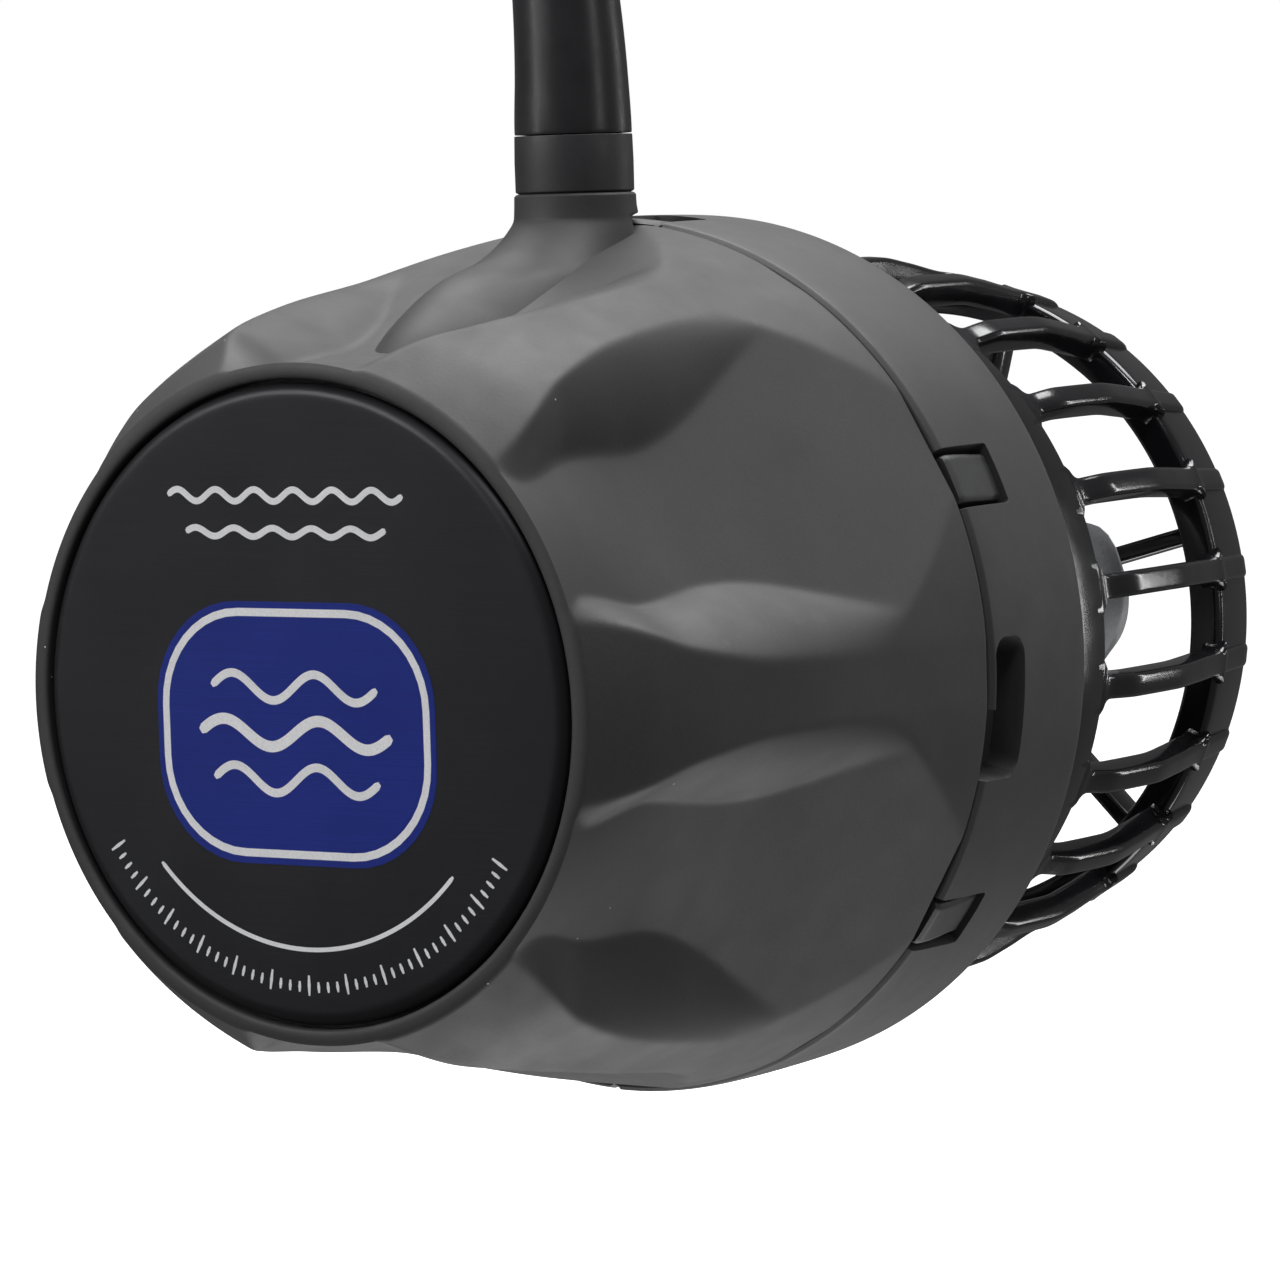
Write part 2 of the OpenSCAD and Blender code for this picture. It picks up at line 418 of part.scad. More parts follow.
module cage_spokes() color([0.05, 0.05, 0.055])
    for (i = [0:5]) at(60*i + 15) difference() {
        translate([6, 44, -0.9]) cube([R_CAGE - 5.2 - 6 - 0.05, 4, 1.8]);
        at(-60*i - 15) rod(6.6, 43, 49, 40);
    }

front_badge();
badge_tape();
front_shell();
rear_ring();
clip_ring();
face_plate();
glass_pads();
face_screws();
motor_mount();
circuit_board();
board_parts();
board_screws();
stator_core();
stator_coils();
front_bearing();
rear_bearing();
cable_collar();
strain_boot();
cord_run();
cord_coil();
cord_tail();
cord_ties();
plug_barrel();
plug_shell();
plug_pins();
motor_shaft();
rotor_bell();
rotor_magnets();
driver_disc();
driver_magnets();
driver_nut();
wet_base();
wet_bumpers();
axle();
thrust_washer();
magnet_housing();
impeller_magnets();
housing_lid();
bushing();
propeller();
hub_cap();
cage_rim();
cage_bars();
cage_band();
cage_hub();
cage_spokes();
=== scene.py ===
import bpy
import bmesh
import json
import math
import numpy as np
from mathutils import Vector, Matrix

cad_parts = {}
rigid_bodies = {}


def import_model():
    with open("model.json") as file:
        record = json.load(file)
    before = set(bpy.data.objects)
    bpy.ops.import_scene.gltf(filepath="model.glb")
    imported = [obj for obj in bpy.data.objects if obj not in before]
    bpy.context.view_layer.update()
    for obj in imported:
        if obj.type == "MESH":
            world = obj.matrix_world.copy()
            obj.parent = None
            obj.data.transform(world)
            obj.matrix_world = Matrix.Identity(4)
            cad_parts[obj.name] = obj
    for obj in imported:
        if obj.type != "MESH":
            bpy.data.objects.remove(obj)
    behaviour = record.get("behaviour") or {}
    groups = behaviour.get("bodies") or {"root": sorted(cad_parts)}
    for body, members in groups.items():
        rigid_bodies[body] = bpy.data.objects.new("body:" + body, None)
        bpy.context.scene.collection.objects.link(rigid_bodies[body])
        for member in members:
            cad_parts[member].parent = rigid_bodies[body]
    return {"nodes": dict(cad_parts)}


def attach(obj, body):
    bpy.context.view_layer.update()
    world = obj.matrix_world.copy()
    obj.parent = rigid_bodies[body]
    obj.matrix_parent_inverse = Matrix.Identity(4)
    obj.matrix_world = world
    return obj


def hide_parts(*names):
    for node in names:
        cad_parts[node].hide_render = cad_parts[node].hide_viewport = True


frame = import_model()
for o in list(bpy.data.objects):
    if o.name in ("Cube", "Light", "Camera"):
        bpy.data.objects.remove(o)
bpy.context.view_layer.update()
nodes = frame["nodes"]
scene = bpy.context.scene
MM = 0.001
rad = math.radians


# ---------------------------------------------------------------- camera
AZ, EL, ROLL, DIST = rad(33.0), rad(4.62), rad(-1.67), 0.560
BACK = Vector((math.sin(AZ)*math.cos(EL), -math.cos(AZ)*math.cos(EL), math.sin(EL)))
RIGHT = Vector((math.cos(AZ), math.sin(AZ), 0))
UP = BACK.cross(RIGHT)
CX = RIGHT*math.cos(ROLL) + UP*math.sin(ROLL)
CY = UP*math.cos(ROLL) - RIGHT*math.sin(ROLL)
cam_data = bpy.data.cameras.new("camera")
cam_data.sensor_width = 36
cam_data.lens = 5437.6*36/1280
cam_data.shift_x = -(719.02 - 640)/1280
cam_data.shift_y = (641.62 - 640)/1280
cam_data.clip_start, cam_data.clip_end = 0.01, 20
cam = bpy.data.objects.new("camera", cam_data)
scene.collection.objects.link(cam)
m = Matrix((CX, CY, BACK)).transposed().to_4x4()
m.translation = BACK*DIST
cam.matrix_world = m
scene.camera = cam


# ---------------------------------------------------------------- mesh helpers (millimetres in, metres out)
def made(name, V, F, sharp=35.0, weighted=False, tidy=True):
    me = bpy.data.meshes.new(name)
    me.from_pydata((np.asarray(V, float)*MM).tolist(), [], [tuple(int(i) for i in f) for f in F])
    me.validate()
    if tidy:
        bm = bmesh.new()
        bm.from_mesh(me)
        bmesh.ops.recalc_face_normals(bm, faces=bm.faces)
        bm.to_mesh(me)
        bm.free()
    me.polygons.foreach_set("use_smooth", [True]*len(me.polygons))
    if sharp:
        me.set_sharp_from_angle(angle=rad(sharp))
    o = bpy.data.objects.new(name, me)
    scene.collection.objects.link(o)
    if weighted:
        w = o.modifiers.new("weighted", "WEIGHTED_NORMAL")
        w.keep_sharp = True
    return o


def quads(k, n, close_k=False, close_n=True, base=0):
    i = np.arange(k if close_k else k - 1)
    j = np.arange(n if close_n else n - 1)
    I, J = np.meshgrid(i, j, indexing="ij")
    I2, J2 = (I + 1) % k, (J + 1) % n
    q = np.stack([I*n + J, I*n + J2, I2*n + J2, I2*n + J], -1).reshape(-1, 4) + base
    return q.tolist()


def loft(rows, cap=True):
    """a closed solid from rows of points (k, n, 3), with a fan at each end"""
    R = np.asarray(rows, float)
    k, n = R.shape[:2]
    V = R.reshape(-1, 3).tolist()
    F = quads(k, n)
    if cap:
        V += [R[0].mean(0).tolist(), R[-1].mean(0).tolist()]
        F += [[k*n, (j + 1) % n, j] for j in range(n)]
        F += [[k*n + 1, (k - 1)*n + j, (k - 1)*n + (j + 1) % n] for j in range(n)]
    return V, F


def ring_of(rows):
    """a closed solid from rows of points, the last joined to the first"""
    R = np.asarray(rows, float)
    k, n = R.shape[:2]
    return R.reshape(-1, 3).tolist(), quads(k, n, close_k=True)


def join(parts):
    V, F = [], []
    for v, f in parts:
        b = len(V)
        V += list(v)
        F += [[i + b for i in q] for q in f]
    return V, F


def fillet(pts, r, n=4):
    """the closed outline pts, [a, b] pairs, with its corners rounded"""
    P = [np.array(p, float) for p in pts]
    N, out = len(P), []
    R = [r]*N if np.isscalar(r) else list(r)
    for i in range(N):
        a, b, c = P[i - 1], P[i], P[(i + 1) % N]
        if R[i] <= 0:
            out.append(b)
            continue
        v1, v2 = a - b, c - b
        l1, l2 = np.linalg.norm(v1), np.linalg.norm(v2)
        v1, v2 = v1/l1, v2/l2
        ang = math.acos(max(-1, min(1, float(v1 @ v2))))
        if ang > rad(176) or ang < rad(2):
            out.append(b)
            continue
        t = min(R[i]/math.tan(ang/2), 0.45*min(l1, l2))
        re = t*math.tan(ang/2)
        bis = (v1 + v2)/np.linalg.norm(v1 + v2)
        ctr = b + bis*(re/math.sin(ang/2))
        s, e = b + v1*t - ctr, b + v2*t - ctr
        a0, a1 = math.atan2(s[1], s[0]), math.atan2(e[1], e[0])
        d = (a1 - a0 + math.pi) % (2*math.pi) - math.pi
        out += [ctr + re*np.array([math.cos(a0 + d*k/n), math.sin(a0 + d*k/n)]) for k in range(n + 1)]
    return out


def turned(profile, seg=192, cy=None):
    """a closed ring turned about the pump axis from a closed outline of [radius, y]"""
    th = np.linspace(0, 2*np.pi, seg, endpoint=False)
    return ring_of([np.stack([p[0]*np.cos(th), np.full(seg, p[1]), p[0]*np.sin(th)], -1) for p in profile])


def disc_turned(profile, seg=192):
    """a solid turned about the pump axis from an open outline that starts and ends on the axis"""
    th = np.linspace(0, 2*np.pi, seg, endpoint=False)
    rows = [np.stack([p[0]*np.cos(th), np.full(seg, p[1]), p[0]*np.sin(th)], -1) for p in profile[1:-1]]
    V, F = loft(rows)
    V[-2], V[-1] = [0, profile[0][1], 0], [0, profile[-1][1], 0]
    return V, F


def spin(part, angle):
    """turns a part about the pump axis, from +X toward +Z"""
    V = np.asarray(part[0], float)
    c, s = math.cos(rad(angle)), math.sin(rad(angle))
    W = V.copy()
    W[:, 0], W[:, 2] = c*V[:, 0] - s*V[:, 2], s*V[:, 0] + c*V[:, 2]
    return W.tolist(), part[1]


def block(lo, hi, r=0.3, n=3):
    """a box with rounded edges along Y and softened ends"""
    (x0, y0, z0), (x1, y1, z1) = lo, hi
    o = fillet([(x0, z0), (x1, z0), (x1, z1), (x0, z1)], r, n)
    c = np.array([(x0 + x1)/2, (z0 + z1)/2])
    rows = []
    for y, k in ((y0, 1.0), (y0 + 0.3*r, 0.35), (y0 + r, 0.0), (y1 - r, 0.0), (y1 - 0.3*r, 0.35), (y1, 1.0)):
        row = []
        for p in o:
            d = np.array(p) - c
            d = d - np.sign(d)*np.minimum(np.abs(d), k*r)
            row.append([c[0] + d[0], y, c[1] + d[1]])
        rows.append(row)
    return loft(rows)


def pchip(xs, ys, x):
    """smooth curve through the points, with no overshoot"""
    xs, ys, x = np.asarray(xs, float), np.asarray(ys, float), np.asarray(x, float)
    h = np.diff(xs)
    d = np.diff(ys)/h
    m = np.zeros_like(ys)
    for i in range(1, len(xs) - 1):
        if d[i - 1]*d[i] > 0:
            w1, w2 = 2*h[i] + h[i - 1], h[i] + 2*h[i - 1]
            m[i] = (w1 + w2)/(w1/d[i - 1] + w2/d[i])
    m[0], m[-1] = d[0], d[-1]
    i = np.clip(np.searchsorted(xs, x, side="right") - 1, 0, len(xs) - 2)
    t = np.clip((x - xs[i])/h[i], 0, 1)
    return ((2*t**3 - 3*t**2 + 1)*ys[i] + (t**3 - 2*t**2 + t)*h[i]*m[i]
            + (-2*t**3 + 3*t**2)*ys[i + 1] + (t**3 - t**2)*h[i]*m[i + 1])


def smooth(t, a=0.0, b=1.0):
    u = np.clip((np.asarray(t, float) - a)/(b - a), 0, 1)
    return u*u*(3 - 2*u)


def blur(a, sigma, axis, wrap):
    n = int(math.ceil(3*sigma))
    if n < 1:
        return a
    k = np.exp(-0.5*(np.arange(-n, n + 1)/sigma)**2)
    k /= k.sum()
    a = np.moveaxis(a, axis, 0)
    pad = np.concatenate([a[-n:], a, a[:n]]) if wrap else np.concatenate([2*a[:1] - a[n:0:-1], a, 2*a[-1:] - a[-2:-n - 2:-1]])
    out = sum(w*pad[i:i + len(a)] for i, w in enumerate(k))
    return np.moveaxis(out, 0, axis)


# ---------------------------------------------------------------- materials
def material(name, color, rough=0.5, metal=0.0, grain=None, grain_h=0.03, mottle=(6.0, 0.08), tint=None, rough_var=0.06,
             wear=0.0, stretch=None, specular=0.5, coat=0.0, coat_rough=0.1, aniso=0.0, sheen=0.0, specks=None, bands=None, painted_hollow_shade=0.0):
    """A procedural finish. Lengths in mm: grain is the size of the fine bump and grain_h its height, mottle the size and
    amount of the colour's drift, stretch the factors that draw the grain out, specks the dust, bands a turned or wound pattern."""
    mt = bpy.data.materials.new(name)
    mt.use_nodes = True
    nt = mt.node_tree
    N, L = nt.nodes, nt.links
    b = N["Principled BSDF"]
    b.inputs["Metallic"].default_value = metal
    b.inputs["Specular IOR Level"].default_value = specular
    b.inputs["Coat Weight"].default_value = coat
    b.inputs["Coat Roughness"].default_value = coat_rough
    b.inputs["Anisotropic"].default_value = aniso
    b.inputs["Sheen Weight"].default_value = sheen
    tc = N.new("ShaderNodeTexCoord")

    def coords(scale):
        mp = N.new("ShaderNodeMapping")
        mp.inputs["Scale"].default_value = scale
        L.new(tc.outputs["Object"], mp.inputs["Vector"])
        return mp.outputs["Vector"]

    def noise(size_mm, detail=3.0, rough_=0.55, by=None):
        nz = N.new("ShaderNodeTexNoise")
        nz.inputs["Scale"].default_value = 1.0
        nz.inputs["Detail"].default_value = detail
        nz.inputs["Roughness"].default_value = rough_
        s = 1000.0/size_mm
        L.new(coords([s*k for k in (by or (1, 1, 1))]), nz.inputs["Vector"])
        return nz.outputs["Fac"]

    def math_(op, a, v, clamp=False):
        n = N.new("ShaderNodeMath")
        n.operation = op
        n.use_clamp = clamp
        for i, x in enumerate((a, v)):
            if x is None:
                continue
            if isinstance(x, (int, float)):
                n.inputs[i].default_value = x
            else:
                L.new(x, n.inputs[i])
        return n.outputs[0]

    def ramp(x, lo, hi, a=0.0, z=1.0):
        r = N.new("ShaderNodeMapRange")
        r.inputs["From Min"].default_value, r.inputs["From Max"].default_value = lo, hi
        r.inputs["To Min"].default_value, r.inputs["To Max"].default_value = a, z
        L.new(x, r.inputs["Value"])
        return r.outputs["Result"]

    def mix(f, a, c):
        x = N.new("ShaderNodeMix")
        x.data_type = "RGBA"
        for i, v in (("Factor", f), ("A", a), ("B", c)):
            s = [q for q in x.inputs if q.name == i and (q.type == "VALUE" if i == "Factor" else q.type == "RGBA")][0]
            if isinstance(v, (int, float)):
                s.default_value = v
            elif isinstance(v, (tuple, list)):
                s.default_value = (*v[:3], 1)
            else:
                L.new(v, s)
        return [q for q in x.outputs if q.type == "RGBA"][0]

    size, amount = mottle
    lo = [c*(1 - amount) for c in color]
    hi = [min(1, c*(1 + amount)) for c in (tint or color)]
    drift = noise(size, 4.0)
    col = mix(ramp(drift, 0.3, 0.7), lo, hi)
    fine = None
    if grain:
        fine = noise(grain, 2.0, 0.5, stretch)
        col = mix(ramp(fine, 0.35, 0.65, 0.0, 0.35), col, [c*0.72 for c in color])
    if bands:
        w = N.new("ShaderNodeTexWave")
        w.wave_type = bands[0]
        if bands[0] == "RINGS":
            w.rings_direction = bands[1]
        else:
            w.bands_direction = bands[1]
        w.inputs["Scale"].default_value = 1.0
        w.inputs["Distortion"].default_value = 0.6
        w.inputs["Detail"].default_value = 1.0
        s = 1000.0/bands[2]*0.05
        L.new(coords((s, s, s)), w.inputs["Vector"])
        col = mix(ramp(w.outputs["Fac"], 0, 1, 0.0, 0.5), col, [c*bands[3] for c in color])
    if wear:
        g = N.new("ShaderNodeNewGeometry")
        p = ramp(g.outputs["Pointiness"], 0.52, 0.60, 0.0, wear)
        p = math_("MULTIPLY", p, ramp(noise(1.3, 3.0), 0.4, 0.65))
        col = mix(p, col, [min(1, c*2.6 + 0.03) for c in color])
    # painted shade: the colour is darkened in hollows and creases (low pointiness), standing in for the shade that
    # falls there
    if painted_hollow_shade:
        g = N.new("ShaderNodeNewGeometry")
        col = mix(ramp(g.outputs["Pointiness"], 0.40, 0.48, painted_hollow_shade, 0.0), col, [c*0.35 for c in color])
    rough_col = ramp(noise(size*0.45, 4.0), 0.25, 0.75, rough - rough_var, rough + rough_var)
    if specks:
        y0, y1, share = specks
        v = N.new("ShaderNodeTexVoronoi")
        v.inputs["Scale"].default_value = 1.0
        v.inputs["Randomness"].default_value = 1.0
        L.new(coords((900, 900, 900)), v.inputs["Vector"])
        sep = N.new("ShaderNodeSeparateColor")
        L.new(v.outputs["Color"], sep.inputs["Color"])
        pos = N.new("ShaderNodeSeparateXYZ")
        L.new(tc.outputs["Object"], pos.inputs["Vector"])
        near = ramp(pos.outputs["Y"], y0*MM, y1*MM, 1.0, 0.0)
        patch = ramp(noise(9.0, 2.0), 0.48, 0.66)
        chosen = math_("GREATER_THAN", math_("MULTIPLY", math_("MULTIPLY", sep.outputs[0], near), patch), 1 - share)
        dot = math_("LESS_THAN", v.outputs["Distance"], 0.085)
        dot = math_("MULTIPLY", dot, chosen)
        col = mix(dot, col, (0.62, 0.62, 0.60))
    L.new(col, b.inputs["Base Color"])
    L.new(rough_col, b.inputs["Roughness"])
    bump = N.new("ShaderNodeBump")
    bump.inputs["Strength"].default_value = 1.0
    bump.inputs["Distance"].default_value = MM*(grain_h if grain else 0.02)
    L.new(fine if fine is not None else drift, bump.inputs["Height"])
    L.new(bump.outputs["Normal"], b.inputs["Normal"])
    return mt


SHELL = material("shell_grey", (0.042, 0.0412, 0.0412), 0.60, grain=0.28, grain_h=0.012, mottle=(11, 0.10), wear=0.10, specular=0.45,
                 specks=(-66, -36, 0.42))
RING = material("ring_grey", (0.046, 0.0453, 0.0453), 0.58, grain=0.26, grain_h=0.012, mottle=(9, 0.09), wear=0.12, specular=0.45)
CLIP = material("clip_black", (0.040, 0.0405, 0.042), 0.52, grain=0.3, grain_h=0.01, mottle=(5, 0.1), wear=0.15)
BADGE = material("badge_black", (0.030, 0.030, 0.033), 0.42, metal=0.75, grain=0.16, grain_h=0.004, stretch=(0.012, 1, 1.0),
                 mottle=(18, 0.12), rough_var=0.05, wear=0.0, aniso=0.45)
NAVY = material("badge_navy", (0.013, 0.029, 0.25), 0.45, specular=0.15, grain=0.16, grain_h=0.003, stretch=(0.012, 1, 1.0), mottle=(14, 0.10))
WHITE = material("badge_white", (0.90, 0.90, 0.91), 0.45, grain=0.2, grain_h=0.002, mottle=(6, 0.05))
COLLAR = material("collar_black", (0.030, 0.030, 0.032), 0.50, grain=0.3, grain_h=0.012, mottle=(4, 0.12), wear=0.10)
BOOT = material("boot_rubber", (0.020, 0.020, 0.022), 0.34, grain=0.35, grain_h=0.008, mottle=(5, 0.15), specular=0.5, rough_var=0.05)
CORD = material("cord_black", (0.018, 0.018, 0.020), 0.40, grain=0.4, grain_h=0.012, mottle=(7, 0.16), rough_var=0.07)
TIE = material("tie_black", (0.024, 0.024, 0.026), 0.42, grain=0.35, grain_h=0.02, mottle=(3, 0.12), wear=0.15)
PLUG = material("plug_black", (0.026, 0.026, 0.028), 0.46, grain=0.3, grain_h=0.014, mottle=(5, 0.12), wear=0.12)
PLATED = material("plug_metal", (0.60, 0.60, 0.62), 0.30, metal=1.0, grain=0.12, grain_h=0.003, mottle=(4, 0.04), stretch=(1, 1, 0.1))
GOLD = material("contact_gold", (0.80, 0.60, 0.24), 0.25, metal=1.0, grain=0.2, grain_h=0.003, mottle=(2, 0.08))
PLATE = material("plate_black", (0.030, 0.030, 0.032), 0.50, grain=0.3, grain_h=0.014, mottle=(9, 0.12), wear=0.12)
FOAM = material("foam_tape", (0.55, 0.55, 0.52), 0.85, grain=0.35, grain_h=0.05, mottle=(3, 0.1))
PAD = material("pad_rubber", (0.045, 0.045, 0.048), 0.70, grain=0.3, grain_h=0.02, mottle=(3, 0.15))
# the screws get painted shade darkening their hollows and recesses
SCREW = material("screw_steel", (0.56, 0.56, 0.58), 0.30, metal=1.0, grain=0.25, grain_h=0.006, mottle=(2, 0.10), wear=0.2, painted_hollow_shade=0.6)
ALLOY = material("mount_alloy", (0.62, 0.63, 0.65), 0.36, metal=1.0, grain=0.25, grain_h=0.006, mottle=(8, 0.06), stretch=(1, 0.1, 1))
BOARD = material("board_green", (0.020, 0.15, 0.065), 0.40, grain=0.5, grain_h=0.006, mottle=(5, 0.25), tint=(0.03, 0.20, 0.09))
CHIP = material("chip_black", (0.022, 0.022, 0.024), 0.48, grain=0.2, grain_h=0.008, mottle=(3, 0.15))
LAMINATE = material("lamination", (0.34, 0.35, 0.37), 0.42, metal=0.9, grain=0.2, grain_h=0.006, mottle=(4, 0.1), bands=("BANDS", "Y", 0.5, 0.4))
COPPER = material("copper", (0.66, 0.28, 0.11), 0.32, metal=1.0, grain=0.4, grain_h=0.05, stretch=(1, 0.06, 1), mottle=(2, 0.15), bands=("BANDS", "X", 0.5, 0.45))
BEARING = material("bearing_steel", (0.62, 0.63, 0.65), 0.22, metal=1.0, grain=0.2, grain_h=0.003, mottle=(3, 0.06))
SHAFT = material("shaft_steel", (0.66, 0.67, 0.69), 0.20, metal=1.0, grain=0.15, grain_h=0.003, stretch=(1, 0.05, 1), mottle=(4, 0.06))
BELL = material("bell_steel", (0.46, 0.47, 0.49), 0.34, metal=1.0, grain=0.25, grain_h=0.006, stretch=(1, 0.1, 1), mottle=(7, 0.10))
MAGNET = material("magnet_grey", (0.42, 0.42, 0.44), 0.30, metal=0.9, grain=0.3, grain_h=0.010, mottle=(3, 0.10), wear=0.2)
DISC = material("disc_steel", (0.50, 0.51, 0.53), 0.32, metal=1.0, grain=0.25, grain_h=0.006, mottle=(8, 0.08))
WET = material("wet_black", (0.011, 0.011, 0.012), 0.20, grain=0.5, grain_h=0.003, mottle=(9, 0.15), specular=0.55, rough_var=0.05)
BUMPER = material("bumper_grey", (0.10, 0.10, 0.104), 0.70, grain=0.3, grain_h=0.02, mottle=(3, 0.12))
CERAMIC = material("axle_ceramic", (0.74, 0.73, 0.69), 0.22, grain=0.3, grain_h=0.002, mottle=(4, 0.04))
HOUSING = material("housing_black", (0.020, 0.020, 0.022), 0.34, grain=0.35, grain_h=0.006, mottle=(7, 0.15))
PROP = material("propeller_grey", (0.36, 0.365, 0.375), 0.30, grain=0.4, grain_h=0.005, mottle=(6, 0.08), specular=0.5)
CAGE = material("cage_black", (0.010, 0.010, 0.0115), 0.16, grain=0.6, grain_h=0.004, mottle=(7, 0.2), specular=0.6, rough_var=0.05, coat=0.25, coat_rough=0.08)


def finish(o, body, slot, mat, *replaced):
    o.data.materials.clear()
    o.data.materials.append(mat)
    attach(o, body)
    if replaced:
        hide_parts(*replaced)
    return o


# ---------------------------------------------------------------- the cord: its route, in mm, as the CAD has it
CABLE_Y = -23.7
STRAIGHT_Z, LEAN_R, LEAN, ARC_R, BEND_R, JOIN = 56.0, 120.0, 15.0, 64.0, 34.0, 60.0
COIL_Z, COIL_R, TURN_GAP, LAYER, CORD_R, LEAVE = -40.0, 42.0, 8.0, 3.9, 3.8, 285.0


def on_arc(c, r, d):
    return (c[0] + r*math.cos(rad(d)), c[1] + r*math.sin(rad(d)))


P_LEAN = on_arc((-LEAN_R, STRAIGHT_Z), LEAN_R, LEAN)
C_ARC = on_arc(P_LEAN, -ARC_R, LEAN)
RUN_X = C_ARC[0] - ARC_R
COIL_X = RUN_X + BEND_R*(1 - math.cos(rad(JOIN))) - (COIL_R + LAYER)*math.cos(rad(JOIN))
COIL_Y = CABLE_Y - TURN_GAP
C_BEND = (RUN_X + BEND_R, COIL_Z + (COIL_R + LAYER + BEND_R)*math.sin(rad(JOIN)))
TAIL_Y = COIL_Y + TURN_GAP + 7.8
C_TAIL = on_arc(on_arc((COIL_X, COIL_Z), COIL_R, LEAVE), -BEND_R, LEAVE - 180)
TAIL_X, TAIL_Z = C_TAIL[0] - BEND_R, COIL_Z - 86


def boot_line(s):
    """the cord's line at a distance s above the collar: x, z and its direction"""
    if s < STRAIGHT_Z - 52.2:
        return 0.0, 52.2 + s, 0.0
    d = math.degrees((s - STRAIGHT_Z + 52.2)/LEAN_R)
    x, z = on_arc((-LEAN_R, STRAIGHT_Z), LEAN_R, d)
    return x, z, d


route = []
for s in (22.0, 25.0, 28.0, 31.0):
    x, z, d = boot_line(s)
    route.append((x, CABLE_Y, z))
for i in range(0, 16):
    x, z = on_arc(C_ARC, ARC_R, LEAN + (180 - LEAN)*i/15)
    route.append((x, CABLE_Y, z))
for i in range(1, 4):
    route.append((RUN_X, CABLE_Y, C_ARC[1] + (C_BEND[1] - C_ARC[1])*i/4))
for i in range(0, 5):
    x, z = on_arc(C_BEND, BEND_R, 180 + JOIN*i/5)
    route.append((x, CABLE_Y, z))


def step(t, a, b):
    return float(smooth(t, a, b))


def winding(t):
    """radius and sideways place of the coil after t turns"""
    y = TURN_GAP*(1 - step(t, .62, .85) - step(t, 1.62, 1.85) + step(t, 3.62, 3.85) + step(t, 4.62, 4.85))
    r = COIL_R + LAYER - 2*LAYER*step(t, 2.62, 2.85)
    y += 7.8*step(t, 5 + 30/360, 5 + 110/360)
    r += LAYER*step(t, 5 + 70/360, 5 + 130/360)
    return r, y


T_END = 5 + 135/360
TURN_PTS = int(T_END*20)
for i in range(TURN_PTS + 1):
    t = T_END*i/TURN_PTS
    r, y = winding(t)
    x, z = on_arc((COIL_X, COIL_Z), r, JOIN - 360*t)
    route.append((x, COIL_Y + y, z))
for i in range(1, 5):
    x, z = on_arc(C_TAIL, BEND_R, LEAVE - 180 + (360 - LEAVE)*i/4)
    route.append((x, TAIL_Y, z))
route.append((TAIL_X, TAIL_Y, (C_TAIL[1] + TAIL_Z)/2))
route.append((TAIL_X, TAIL_Y, TAIL_Z - 0.5))

curve = bpy.data.curves.new("cord", "CURVE")
curve.dimensions = "3D"
spline = curve.splines.new("BEZIER")
spline.bezier_points.add(len(route) - 1)
for b, p in zip(spline.bezier_points, route):
    b.co = [v*MM for v in p]
    b.handle_left_type = b.handle_right_type = "AUTO"
curve.resolution_u = 6
bare = bpy.data.objects.new("bare", curve)
line = bpy.data.meshes.new_from_object(bare)
bpy.data.objects.remove(bare)
bpy.data.meshes.remove(line)
curve.bevel_depth = CORD_R*MM
curve.bevel_resolution = 5
curve.use_fill_caps = True
cord = bpy.data.objects.new("cord", curve)
scene.collection.objects.link(cord)
curve.materials.append(CORD)
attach(cord, "dry_side")
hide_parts("cord_run", "cord_coil", "cord_tail")


# ties: a flat strap round the bundle, with its buckle and a clipped end
def strap(angle):
    hr, hw, th, w = LAYER + CORD_R + 0.25, TURN_GAP + CORD_R + 0.25, 1.0, 4.6
    inner = fillet([(-hr, -hw), (hr, -hw), (hr, hw), (-hr, hw)], 3.6, 6)
    outer = fillet([(-hr - th, -hw - th), (hr + th, -hw - th), (hr + th, hw + th), (-hr - th, hw + th)], 4.6, 6)
    prof = [(w/2 - 0.25, 0), (w/2, 0.25), (w/2, 0.75), (w/2 - 0.25, 1), (-w/2 + 0.25, 1), (-w/2, 0.75), (-w/2, 0.25), (-w/2 + 0.25, 0)]
    rows = [[[COIL_R + a[0] + (b[0] - a[0])*k, a[1] + (b[1] - a[1])*k, u] for a, b in zip(inner, outer)] for u, k in prof]
    parts = [ring_of(rows)]
    x0 = COIL_R + hr + 0.6
    parts.append(block((x0, -3.0, -3.1), (x0 + 3.0, 3.2, 3.1), 0.5))
    parts.append(block((x0 + 0.7, 3.0, -1.7), (x0 + 1.9, 7.5, 1.7), 0.25))
    V, F = spin(join(parts), angle)
    V = (np.array(V) + np.array([COIL_X, COIL_Y, COIL_Z])).tolist()
    return V, F


ties = finish(made("cord_straps", *join([strap(48), strap(230)])), "dry_side", "tie_black", TIE, "cord_ties")


# the plug: a moulded barrel with grip ribs and its own little strain relief
def on_plug(rows_rz, seg=64, ribs=0):
    th = np.linspace(0, 2*np.pi, seg, endpoint=False)
    rows = []
    for r, z in rows_rz:
        rr = np.full(seg, r)
        if ribs and 17.5 < z < 28.5:
            k = smooth(z, 17.5, 19) * (1 - smooth(z, 27, 28.5))
            rr = r - 0.35*k*(0.5 + 0.5*np.cos(ribs*th))
        rows.append(np.stack([TAIL_X + rr*np.cos(th), TAIL_Y + rr*np.sin(th), np.full(seg, TAIL_Z - z)], -1))
    return loft(rows)


